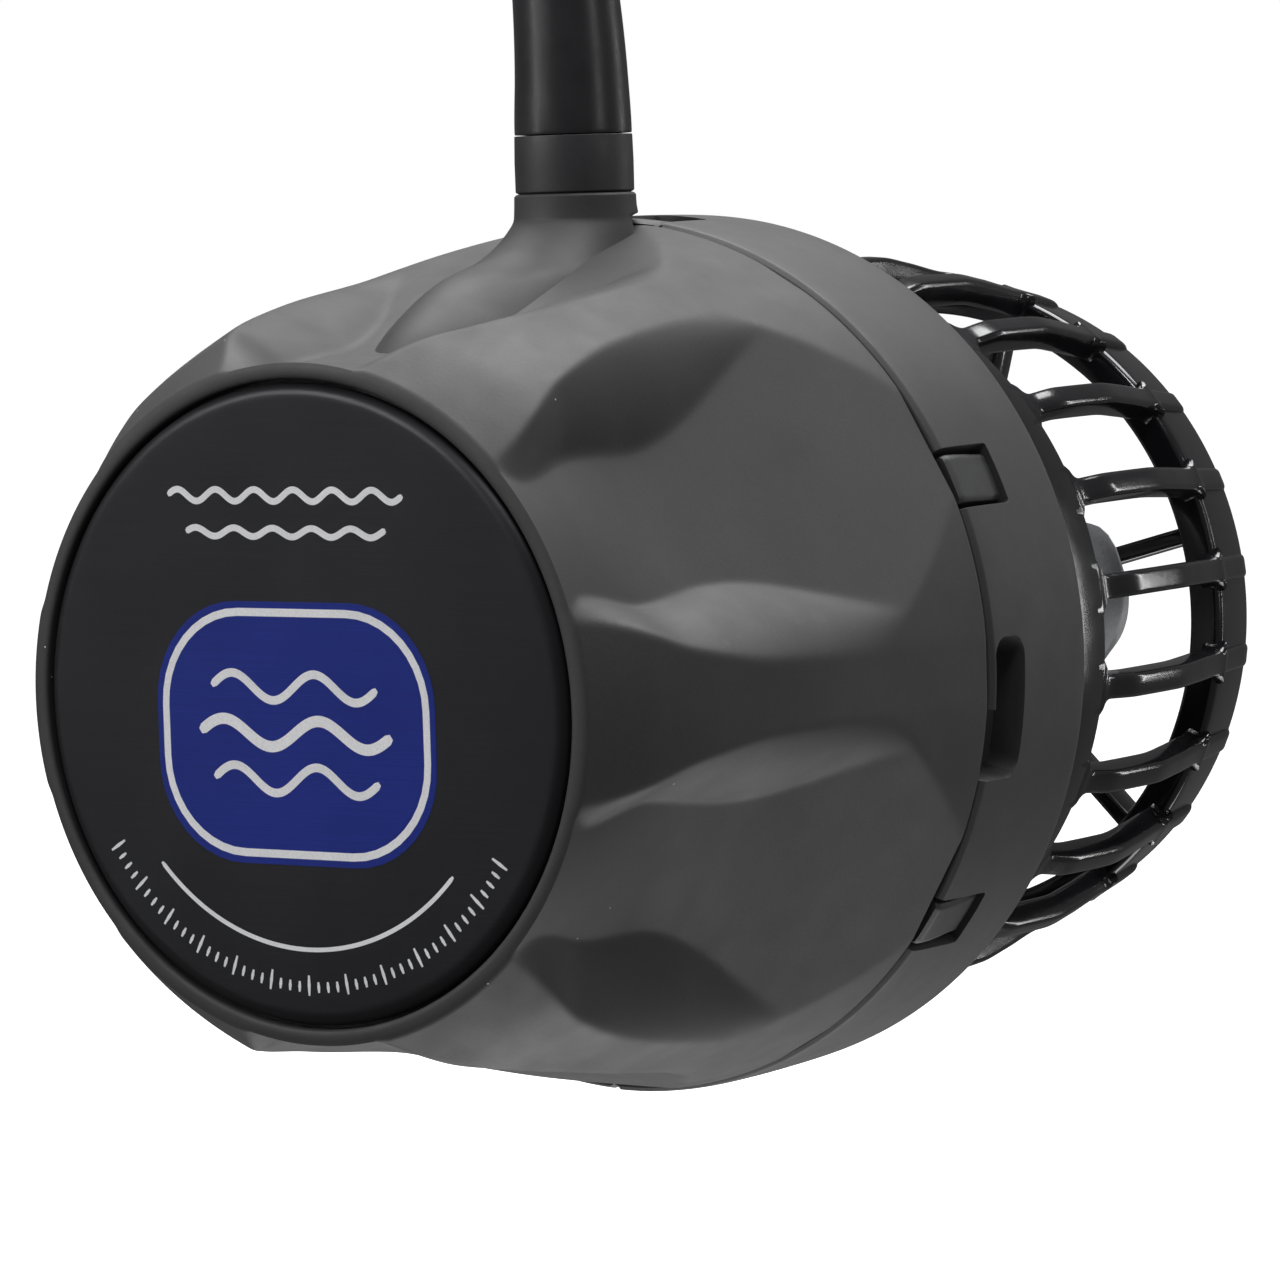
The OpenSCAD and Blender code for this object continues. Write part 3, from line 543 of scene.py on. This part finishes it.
barrel = [(4.05, -0.2), (4.35, 0.0), (4.6, 0.3), (4.7, 1.4), (4.3, 1.7), (4.3, 2.5), (4.8, 2.8), (5.0, 4.0), (4.5, 4.3), (4.5, 5.1), (5.1, 5.4), (5.3, 6.8),
          (4.9, 7.1), (4.9, 7.9), (5.5, 8.2), (5.8, 10), (6.5, 13), (7.0, 15.4), (7.25, 16.6)]
barrel += [(7.3, z) for z in np.linspace(17.5, 28.5, 23)] + [(7.35, 29.6), (7.1, 30.4), (6.5, 30.8), (6.0, 31.0), (6.0, 32.0)]
plug = finish(made("plug_moulding", *on_plug(barrel, 192, 24), sharp=30), "dry_side", "plug_black", PLUG, "plug_barrel")


# ---------------------------------------------------------------- dry side: the lobed shell
R_RING, Y_RIM, Y_SEAM, R_BADGE, Y_FRONT = 44.0, -70.8, -19.6, 29.75, -71.2
CREST = [(0, -12.2), (0.06, -10.1), (0.12, -8.3), (0.28, -5.5), (0.5, -3.1), (0.75, -1.6), (1, -0.6)]
FLOOR = [(0, -12.4), (0.15, -12.5), (0.33, -12.0), (0.5, -9.5), (0.66, -6.4), (0.85, -2.9), (0.95, -1.4), (1, -0.8)]
HALF = [(0, 15), (0.04, 14), (0.12, 11), (0.2, 8), (0.4, 4.8), (0.7, 4.2), (1, 4)]
WALL = [(0, 2), (0.04, 5), (0.2, 8), (0.4, 12.5), (0.7, 6.2), (1, 1)]


def table(t, s):
    return pchip([a for a, b in t], [b for a, b in t], s)


NT, NS = 960, 190
theta = np.linspace(0, 360, NT, endpoint=False)
s_rows = np.linspace(0, 1, NS)
phi = np.abs((theta + 30) % 60 - 30)
E, Fl = R_RING + table(CREST, s_rows), R_RING + table(FLOOR, s_rows)
Fl = np.minimum(Fl, E)
H, W = table(HALF, s_rows), np.maximum(table(WALL, s_rows), 0.8)
T = np.clip((phi[None, :] - H[:, None])/W[:, None], 0, 1)
facet = smooth(s_rows, 0.04, 0.34)[:, None]
top = E[:, None]*(1 + facet*(np.cos(np.radians(0.75*H[:, None]))/np.cos(np.radians(np.minimum(phi[None, :], H[:, None]))) - 1))
low = Fl[:, None]*(1 + facet*(np.cos(np.radians(5.0))/np.cos(np.radians(30 - phi[None, :])) - 1))
height = top + (np.minimum(low, top) - top)*T
height = blur(blur(height, 1.5, 1, True), 1.6, 0, False)
y_rows = Y_RIM + (Y_SEAM - 0.34 - Y_RIM)*s_rows
cos_t, sin_t = np.cos(np.radians(theta)), np.sin(np.radians(theta))


def around(r, y):
    return np.stack([r*cos_t, np.full(NT, y) if np.isscalar(y) else y, r*sin_t], -1)


rows = [around(30.12, -69.5), around(30.12, -70.2), around(30.12, -70.75), around(30.2, -70.93), around(30.4, -71.02), around(30.7, -71.05), around(31.1, -71.02)]
rows += [around(height[0] - 0.28, -70.95)]
rows += [around(height[i], y_rows[i]) for i in range(NS)]
rows += [around(height[-1] - 0.12, Y_SEAM - 0.21), around(height[-1] - 0.32, Y_SEAM - 0.15), around(height[-1] - 0.7, Y_SEAM - 0.14),
         around(R_RING - 3.7, Y_SEAM - 0.14), around(R_RING - 4.4, Y_SEAM - 6), around(R_RING - 7.4, -37.0), around(28.8, -50.0), around(28.8, Y_RIM + 3.3)]
shell_V, shell_F = loft(rows)

# the cable boss: a round post that flares down into the top flute
BZ = [(26, 12.5), (28, 12), (33, 10), (36, 8.6), (38.3, 7.6), (40, 7.0), (42.5, 6.4), (44, 6.08), (46.5, 6.0)]
BF = [(26, 36), (28, 34.5), (33, 30), (36, 25.5), (38.3, 20.5), (40, 13.6), (42.5, 8.0), (44, 6.2), (46.5, 6.0)]
BB = [(26, 3.8), (43.4, 3.85), (44.0, 4.3), (44.35, 6.4), (45.2, 6.1), (46.5, 6.0)]
ang = np.linspace(0, 2*np.pi, 128, endpoint=False)
boss_rows = []
for z in np.concatenate([np.linspace(26, 43.2, 60), np.linspace(43.4, 46.15, 30)]):
    ax, af, ab = (float(table(t, z)) for t in (BZ, BF, BB))
    boss_rows.append(np.stack([ax*np.cos(ang), CABLE_Y + np.where(np.sin(ang) < 0, af, ab)*np.sin(ang), np.full(128, z)], -1))
for dr, z in ((0.05, 46.2), (0.15, 46.33), (0.35, 46.39), (0.6, 46.42)):
    boss_rows.append(np.stack([(6.0 - dr)*np.cos(ang), CABLE_Y + (6.0 - dr)*np.sin(ang), np.full(128, z)], -1))
shell = finish(made("front_housing", *join([(shell_V, shell_F), loft(boss_rows)]), sharp=50), "dry_side", "shell_grey", SHELL, "front_shell")


# ---------------------------------------------------------------- dry side: rear ring, with its snap windows and slots
def ring_r(y):
    return pchip([-19.45, -18.9, -16, -12, -7, -4, -2.2, -1.2, -0.7, -0.4], [43.35, 43.8, 43.95, 44.0, 43.97, 43.9, 43.78, 43.55, 43.3, 42.95], y)


WINDOWS = [60*(i + 0.5) - 5.5 for i in range(6)]
SLOTS = [-5.5, 174.5]
fine_t = []
for c in WINDOWS:
    for e in (-4.0, 4.0):
        fine_t += list(c + e + np.linspace(-0.36, 0.36, 13))
for c in SLOTS:
    fine_t += list(c + np.concatenate([np.linspace(-9.6, -5.5, 54), np.linspace(5.5, 9.6, 54), np.linspace(-0.4, 0.4, 9)]))
tg = np.unique(np.round(np.concatenate([np.arange(0, 360, 0.5), np.array(fine_t) % 360]), 3))
keep = np.concatenate([[True], np.diff(tg) > 0.02])
tg = tg[keep]
yg = np.unique(np.round(np.concatenate([np.linspace(-19.45, -0.4, 96), np.linspace(-19.45, -18.3, 20), np.linspace(-14.2, -13.2, 20), np.linspace(-11.5, -10.9, 12), np.linspace(-1.4, -0.4, 10)]), 3))
yg = yg[np.concatenate([[True], np.diff(yg) > 0.02])]
TG, YG = np.meshgrid(tg, yg)


def box_dist(u, v, hu, hv, r):
    """signed distance to a rounded rectangle, negative inside"""
    a, b = np.abs(u) - hu + r, np.abs(v) - hv + r
    return np.hypot(np.maximum(a, 0), np.maximum(b, 0)) + np.minimum(np.maximum(a, b), 0) - r


def turn_gap(t, c):
    return (t - c + 180) % 360 - 180


depth = np.zeros_like(TG)
for c in WINDOWS:
    u = turn_gap(TG, c)*math.pi/180*43.9
    d = box_dist(u, YG + 17.4, 3.07, 6.2, 0.25)
    depth = np.maximum(depth, 3.0*(1 - smooth(d, -0.10, 0.06)))
for c in SLOTS:
    u = turn_gap(TG, c)*math.pi/180*43.9
    d = box_dist(u, YG + 16.25, 6.9, 2.5, 1.9)
    d = np.minimum(d, box_dist(u + 3.45, YG + 17.4, 3.42, 3.0, 0.6))
    depth = np.maximum(depth, 3.2*(1 - smooth(d, -0.12, 0.10)))
RG = ring_r(YG) - depth
ct, st = np.cos(np.radians(tg)), np.sin(np.radians(tg))
ring_rows = [np.stack([RG[i]*ct, YG[i], RG[i]*st], -1) for i in range(len(yg))]
for r, y in ((42.5, -0.30), (41.6, -0.28), (41.45, -0.4), (41.45, -4.0), (40.4, -4.2), (40.4, -19.3)):
    ring_rows.append(np.stack([r*ct, np.full(len(tg), y), r*st], -1))
back_r = ring_r(-19.45) - 0.35 - depth[0]
ring_rows.append(np.stack([back_r*ct, np.full(len(tg), -19.52), back_r*st], -1))
ring = finish(made("rear_ring_skin", *ring_of(ring_rows), sharp=40), "dry_side", "ring_grey", RING, "rear_ring")

# the snap ring inside it, with a ramped tab in each window
clip = [turned(fillet([(38.4, -22.6), (39.4, -22.6), (39.9, -19.6), (40.3, -19.6), (40.3, -4.0), (39.4, -4.0), (39.4, -19.6)], 0.15, 2), 192)]


def tab(c):
    us = np.linspace(-3.0, 3.0, 15)
    ys = np.array([-19.15, -19.05, -18.85, -18.5, -17, -15, -13, -12, -11.5, -11.2, -11.1])
    top = []
    for y in ys:
        h = 43.80 - 0.50*float(smooth(y, -17.5, -11.2)) - 0.35*float(1 - smooth(y, -19.15, -18.7))
        edge = 0.30*(1 - smooth(3.0 - np.abs(us)/3.0*3.0, 0.0, 0.35))
        a = np.radians(c + us/3.0*3.25)
        r = h - edge
        top.append(np.stack([r*np.cos(a), np.full(15, y), r*np.sin(a)], -1))
    rows = []
    for row in top:
        low = []
        for p in row[::-1]:
            q = p.copy()
            n = np.hypot(q[0], q[2])
            q[0], q[2] = q[0]*40.5/n, q[2]*40.5/n
            low.append(q)
        rows.append(np.concatenate([row, np.array(low)]))
    return loft(rows)


clips = finish(made("snap_ring", *join(clip + [tab(c) for c in WINDOWS]), sharp=45), "dry_side", "clip_black", CLIP, "clip_ring")

# ---------------------------------------------------------------- dry side: badge
b_prof = [(0, Y_FRONT), (10, Y_FRONT), (20, Y_FRONT), (28.2, Y_FRONT), (28.6, Y_FRONT + 0.01), (28.9, Y_FRONT + 0.06), (29.2, Y_FRONT + 0.2), (29.5, Y_FRONT + 0.42), (29.68, Y_FRONT + 0.62),
          (29.75, Y_FRONT + 0.85), (29.75, Y_FRONT + 1.2), (20, Y_FRONT + 1.2), (0, Y_FRONT + 1.2)]
badge = finish(made("badge_plate", *disc_turned(b_prof, 360), sharp=35), "dry_side", "badge_black", BADGE, "front_badge")


def extruded(outline, y0, y1, holes=None):
    """a flat plate with that outline in x and z, from y0 to y1"""
    o = np.asarray(outline, float)
    n = len(o)
    V = [[p[0], y0, p[1]] for p in o] + [[p[0], y1, p[1]] for p in o]
    c = o.mean(0)
    V += [[c[0], y0, c[1]], [c[0], y1, c[1]]]
    F = [[j, (j + 1) % n, n + (j + 1) % n, n + j] for j in range(n)]
    F += [[2*n, (j + 1) % n, j] for j in range(n)] + [[2*n + 1, n + j, n + (j + 1) % n] for j in range(n)]
    return V, F


def stroke(path, width, y0, y1, closed=False):
    """a flat line of that width along a path in x and z"""
    P = np.asarray(path, float)
    n = len(P)
    if closed:
        d = np.roll(P, -1, 0) - np.roll(P, 1, 0)
    else:
        d = np.gradient(P, axis=0)
    d /= np.linalg.norm(d, axis=1)[:, None]
    nrm = np.stack([-d[:, 1], d[:, 0]], -1)
    w = np.full(n, width/2.0)
    if not closed:
        w[0] = w[-1] = width*0.28
    a, b = P + nrm*w[:, None], P - nrm*w[:, None]
    rows = [np.array([[a[i][0], y0, a[i][1]], [b[i][0], y0, b[i][1]], [b[i][0], y1, b[i][1]], [a[i][0], y1, a[i][1]]]) for i in range(n)]
    return ring_of(rows) if closed else loft(rows)


EX, EZ = -0.6, -2.6
Y_INK = Y_FRONT - 0.03


def pillow(hx, hz, r, n=10):
    return np.array(fillet([(EX - hx, EZ - hz), (EX + hx, EZ - hz), (EX + hx, EZ + hz), (EX - hx, EZ + hz)], r, n))


emblem = finish(made("badge_emblem", *extruded(pillow(16.0, 12.2, 9.5), Y_INK, Y_FRONT + 0.2), sharp=30), "dry_side", "badge_black", NAVY)
ink = [stroke(pillow(15.0, 11.2, 8.8), 0.75, Y_INK - 0.02, Y_FRONT + 0.1, closed=True)]
# three waves in the emblem
for k, (z, half) in enumerate(((4.3, 9.5), (0.0, 11.0), (-4.3, 9.5))):
    x = np.linspace(-half, half, 61)
    ink.append(stroke(np.stack([EX + x, EZ + z + 1.25*np.sin(x/half*2*math.pi)], -1), 1.05 if k == 1 else 0.8, Y_INK - 0.02, Y_FRONT + 0.1))
# a short row of ripples above it, and fine scale marks round the lower edge
for z, x0, x1, a in ((19.4, -14.5, 12.5, 0.55), (16.0, -12.5, 10.5, 0.4)):
    x = np.linspace(x0, x1, 121)
    ink.append(stroke(np.stack([x, z + a*np.sin((x - x0)*1.4)], -1), 0.62, Y_INK, Y_FRONT + 0.1))
for i in range(49):
    a = rad(-148 + 116*i/48)
    r0, r1 = (25.0, 26.9) if i % 4 == 0 else (25.6, 26.6)
    ink.append(stroke([[r*math.cos(a), r*math.sin(a)] for r in (r0, (r0 + r1)/2, r1)], 0.34, Y_INK, Y_FRONT + 0.1))
a = np.radians(np.linspace(-138, -42, 97))
ink.append(stroke(np.stack([22.6*np.cos(a), 22.6*np.sin(a)], -1), 0.42, Y_INK, Y_FRONT + 0.1))
inks = finish(made("badge_print", *join(ink), sharp=30), "dry_side", "badge_black", WHITE)


# ---------------------------------------------------------------- dry side: collar and boot
def about_cable(profile, seg=128):
    th = np.linspace(0, 2*np.pi, seg, endpoint=False)
    return ring_of([np.stack([p[0]*np.cos(th), CABLE_Y + p[0]*np.sin(th), np.full(seg, p[1])], -1) for p in profile])


collar_prof = fillet([(3.85, 46.3), (5.6, 46.42), (5.86, 46.6), (5.88, 49.5), (5.82, 52.1), (3.85, 52.12)], [0, 0.05, 0.12, 0, 0.07, 0], 5)
collar = finish(made("collar", *about_cable(collar_prof), sharp=35), "dry_side", "collar_black", COLLAR, "cable_collar")
BOOT_R = [(0, 5.74), (0.15, 5.79), (5.8, 5.58), (13.8, 5.26), (21.8, 4.9), (26.6, 4.68), (27.4, 4.55), (27.8, 4.3), (28.0, 3.95)]
ss_ = np.concatenate([[0.02, 0.2, 0.4], np.linspace(0.9, 26.6, 44), [27.0, 27.4, 27.65, 27.85, 27.97, 28.0]])
th = np.linspace(0, 2*np.pi, 96, endpoint=False)
boot_rows = []
for s, bore in [(-3.5, 3.7), (-0.1, 3.7)] + [(s, None) for s in ss_] + [(s, 3.84) for s in (28.0, 26.0, 24.0, 21.5)]:
    x, z, d = boot_line(s)
    r = bore or float(table(BOOT_R, s))
    u, v = r*np.cos(th), r*np.sin(th)
    boot_rows.append(np.stack([x + u*math.cos(rad(d)), CABLE_Y + v, z + u*math.sin(rad(d))], -1))
boot = finish(made("boot_sleeve", *loft(boot_rows), sharp=40), "dry_side", "boot_rubber", BOOT, "strain_boot")


# ---------------------------------------------------------------- wet side: base
R_CAGE = 37.7
base_prof = [(0.0, 1.0), (36.9, 1.0), (37.35, 1.1), (37.6, 1.35), (37.7, 1.8), (37.7, 4.2), (37.6, 4.45), (37.3, 4.6), (35.95, 4.62), (35.9, 4.8), (35.9, 13.0), (35.8, 13.4), (35.4, 13.6), (34.2, 13.6),
             (33.9, 13.4), (33.9, 4.6), (33.5, 4.2), (6.3, 4.2), (6.0, 4.4), (6.0, 6.5), (5.8, 6.6), (0.0, 6.6)]
base = finish(made("wet_base_skin", *disc_turned(base_prof, 240), sharp=35), "wet_side", "wet_black", WET, "wet_base")

# ---------------------------------------------------------------- wet side: impeller's propeller
BLADES, PROP_R, HUB_R = 4, 31.5, 7.6


def blade(angle):
    ks, ts = np.linspace(0, 1, 26), np.linspace(-0.5, 0.5, 25)
    rows = []
    for k in ks:
        r = HUB_R + (PROP_R - HUB_R)*k
        grow = math.sin(rad(30 + 120*k))
        half = (7*grow + 5)*(math.sqrt(max(0.0, 1 - max(0, (k - 0.86)/0.14)**2*0.72)) if k > 0.86 else 1)
        lean = math.atan(100/(2*math.pi*r))
        thick = 1.5 - 0.72*k
        up_side, low_side = [], []
        for t in ts:
            bow = 1.6*(1 - 4*t*t)
            u = 2*half*t
            edge = math.sqrt(max(0.0, 1 - (2*t)**4))
            for side, out in ((1, up_side), (-1, low_side)):
                h = bow + side*(0.16 + thick/2*edge)
                along, up = u*math.cos(lean) - h*math.sin(lean), u*math.sin(lean) + h*math.cos(lean)
                a = along/r + rad(angle)
                out.append([r*math.cos(a), 28 + up, r*math.sin(a)])
        rows.append(low_side + up_side[::-1])
    return loft(rows)


hub_prof = fillet([(4.2, 17.6), (11, 17.6), (9.6, 19.6), (8.7, 23), (8.4, 30), (8.4, 37.6), (4.2, 37.6)], [0, 0.3, 1.5, 4, 8, 0.2, 0], 4)
prop = finish(made("propeller_blades", *join([turned(hub_prof, 128)] + [blade(360/BLADES*i + 3) for i in range(BLADES)]), sharp=50), "impeller", "propeller_grey", PROP, "propeller")

# ---------------------------------------------------------------- cage
BARS, BAR_W, PHASE = 23, 2.6, 7.7
OUT_Y = [4.8, 14, 20, 28, 34, 40, 42.2, 44, 48.8, 50.4]
OUT_R = [37.7, 37.8, 38.8, 38.9, 38.2, 37.2, 36.9, 36.6, 35.8, 35.5]
cage_parts = [turned(fillet([(36.25, 4.9), (37.7, 4.9), (37.72, 14.0), (35.3, 14.2), (35.3, 13.8), (36.25, 13.8)], [0.1, 0.35, 0.45, 0.3, 0.1, 0.1], 4), 276)]
band = fillet([(32.4, 41.8), (36.2, 41.8), (35.9, 44), (35.1, 50.3), (32.4, 50.3)], [0.6, 0.7, 2, 0.7, 0.6], 5)
cage_parts.append(turned(band, 276))


def bar(angle):
    rows = []
    ys = np.concatenate([[12.6], np.linspace(13.4, 16.2, 12), np.linspace(17, 39.4, 30), np.linspace(39.8, 42.4, 12), np.linspace(43, 48.6, 8), [49.2, 49.7, 50.0, 50.15]])
    for y in ys:
        ro = float(pchip(OUT_Y, OUT_R, y))
        end = max(0.0, (y - 48.6)/1.55)
        ro -= 0.55*(1 - math.sqrt(max(0.0, 1 - min(1, end)**2)))
        deep = 2.9 if y < 42 else 1.6
        w = BAR_W
        for edge, sign in ((14.1, 1), (42.3, -1)):
            d = (y - edge)*sign
            if 0 <= d < 1.7:
                w += 2*(1.7 - math.sqrt(1.7**2 - (1.7 - d)**2))
            elif d < 0 and edge == 14.1:
                w += 3.4
        if y < 14.1:
            ro -= 0.12
        sec = fillet([(ro - deep, -w/2), (ro, -w/2), (ro, w/2), (ro - deep, w/2)], [0.5, 0.62, 0.62, 0.5], 4)
        rows.append([[p[0], y, p[1]] for p in sec])
    return spin(loft(rows), angle)


cage_parts += [bar(360/BARS*i + PHASE) for i in range(BARS)]
cage = finish(made("cage_moulding", *join(cage_parts), sharp=50), "cage_body", "cage_black", CAGE, "cage_rim", "cage_bars", "cage_band")
hub = turned(fillet([(2.56, 43.6), (6.6, 43.6), (6.6, 48.4), (2.56, 48.4)], [0.2, 0.7, 0.7, 0.2], 5), 96)
spokes = [spin(block((6.2, 44, -0.9), (32.8, 48, 0.9), 0.4), 60*i + 15) for i in range(6)]
nose = finish(made("cage_nose", *join([hub] + spokes), sharp=40), "cage_body", "cage_black", CAGE, "cage_hub", "cage_spokes")

# ---------------------------------------------------------------- CAD nodes that keep their shape
for name, mat in dict(badge_tape=FOAM, face_plate=PLATE, glass_pads=PAD, face_screws=SCREW, motor_mount=ALLOY, circuit_board=BOARD, board_parts=CHIP, board_screws=SCREW,
                      stator_core=LAMINATE, stator_coils=COPPER, front_bearing=BEARING, rear_bearing=BEARING, plug_shell=PLATED, plug_pins=GOLD,
                      motor_shaft=SHAFT, rotor_bell=BELL, rotor_magnets=MAGNET, driver_disc=DISC, driver_magnets=MAGNET, driver_nut=SCREW,
                      wet_bumpers=BUMPER, axle=CERAMIC, thrust_washer=CERAMIC, magnet_housing=HOUSING, impeller_magnets=MAGNET, housing_lid=HOUSING,
                      bushing=CERAMIC, hub_cap=PROP).items():
    nodes[name].data.materials.clear()
    nodes[name].data.materials.append(mat)


# ---------------------------------------------------------------- stage and light
def stage_material(name, color, glow):
    mt = bpy.data.materials.new(name)
    mt.use_nodes = True
    b = mt.node_tree.nodes["Principled BSDF"]
    b.inputs["Base Color"].default_value = (*color, 1)
    b.inputs["Roughness"].default_value = 0.9
    b.inputs["Specular IOR Level"].default_value = 0.0
    b.inputs["Emission Color"].default_value = (1, 1, 1, 1)
    b.inputs["Emission Strength"].default_value = glow
    return mt


bm = bmesh.new()
bmesh.ops.create_grid(bm, x_segments=8, y_segments=8, size=6.0)
fm = bpy.data.meshes.new("floor")
bm.to_mesh(fm)
bm.free()
floor = bpy.data.objects.new("floor", fm)
floor.location = (0, 0, -0.20)
scene.collection.objects.link(floor)
fm.materials.append(stage_material("pale_floor", (0.8, 0.8, 0.8), 1.0))
floor.visible_diffuse = floor.visible_glossy = floor.visible_shadow = False

world = bpy.data.worlds.new("studio")
scene.world = world
world.use_nodes = True
wn, wl = world.node_tree.nodes, world.node_tree.links
bg = wn["Background"]
bg.inputs["Color"].default_value = (1, 1, 1, 1)
bg.inputs["Strength"].default_value = 1.0
dim = wn.new("ShaderNodeBackground")
dim.inputs["Color"].default_value = (1.0, 1.0, 1.0, 1)
dim.inputs["Strength"].default_value = 0.11
lp = wn.new("ShaderNodeLightPath")
mx = wn.new("ShaderNodeMixShader")
wl.new(lp.outputs["Is Camera Ray"], mx.inputs["Fac"])
wl.new(dim.outputs[0], mx.inputs[1])
wl.new(bg.outputs[0], mx.inputs[2])
wl.new(mx.outputs[0], wn["World Output"].inputs["Surface"])


def softbox(name, place, target, size, power, color=(1, 1, 1)):
    d = bpy.data.lights.new(name, "AREA")
    d.shape = "RECTANGLE"
    d.size, d.size_y = size
    d.energy = power
    d.color = color
    o = bpy.data.objects.new(name, d)
    o.location = place
    o.rotation_euler = (Vector(target) - Vector(place)).to_track_quat("-Z", "Y").to_euler()
    scene.collection.objects.link(o)
    return o


softbox("key_top", (-0.05, 0.30, 1.02), (0, -0.02, 0), (1.2, 0.9), 26)
softbox("low", (0.05, 0.28, -0.95), (0, -0.02, 0), (1.2, 0.8), 9.5)
softbox("front_high", (-0.70, -1.05, 0.65), (0, -0.05, 0), (0.7, 0.5), 8.5)
softbox("strip_left", (-0.72, -0.80, 0.25), (0, -0.03, 0.06), (0.03, 0.9), 1.4)
softbox("strip_right", (1.05, -0.02, 0.35), (0, -0.03, 0.06), (0.02, 0.8), 1.1)
softbox("cage_glint", (0.60, 0.92, 0.10), (0.03, 0.03, 0), (0.024, 0.60), 0.85)
softbox("bevel_glint", (0.42, -0.66, 0.86), (0, -0.07, 0), (0.32, 0.10), 2.2, (0.93, 0.92, 1.0))
scene.view_settings.view_transform = "Standard"
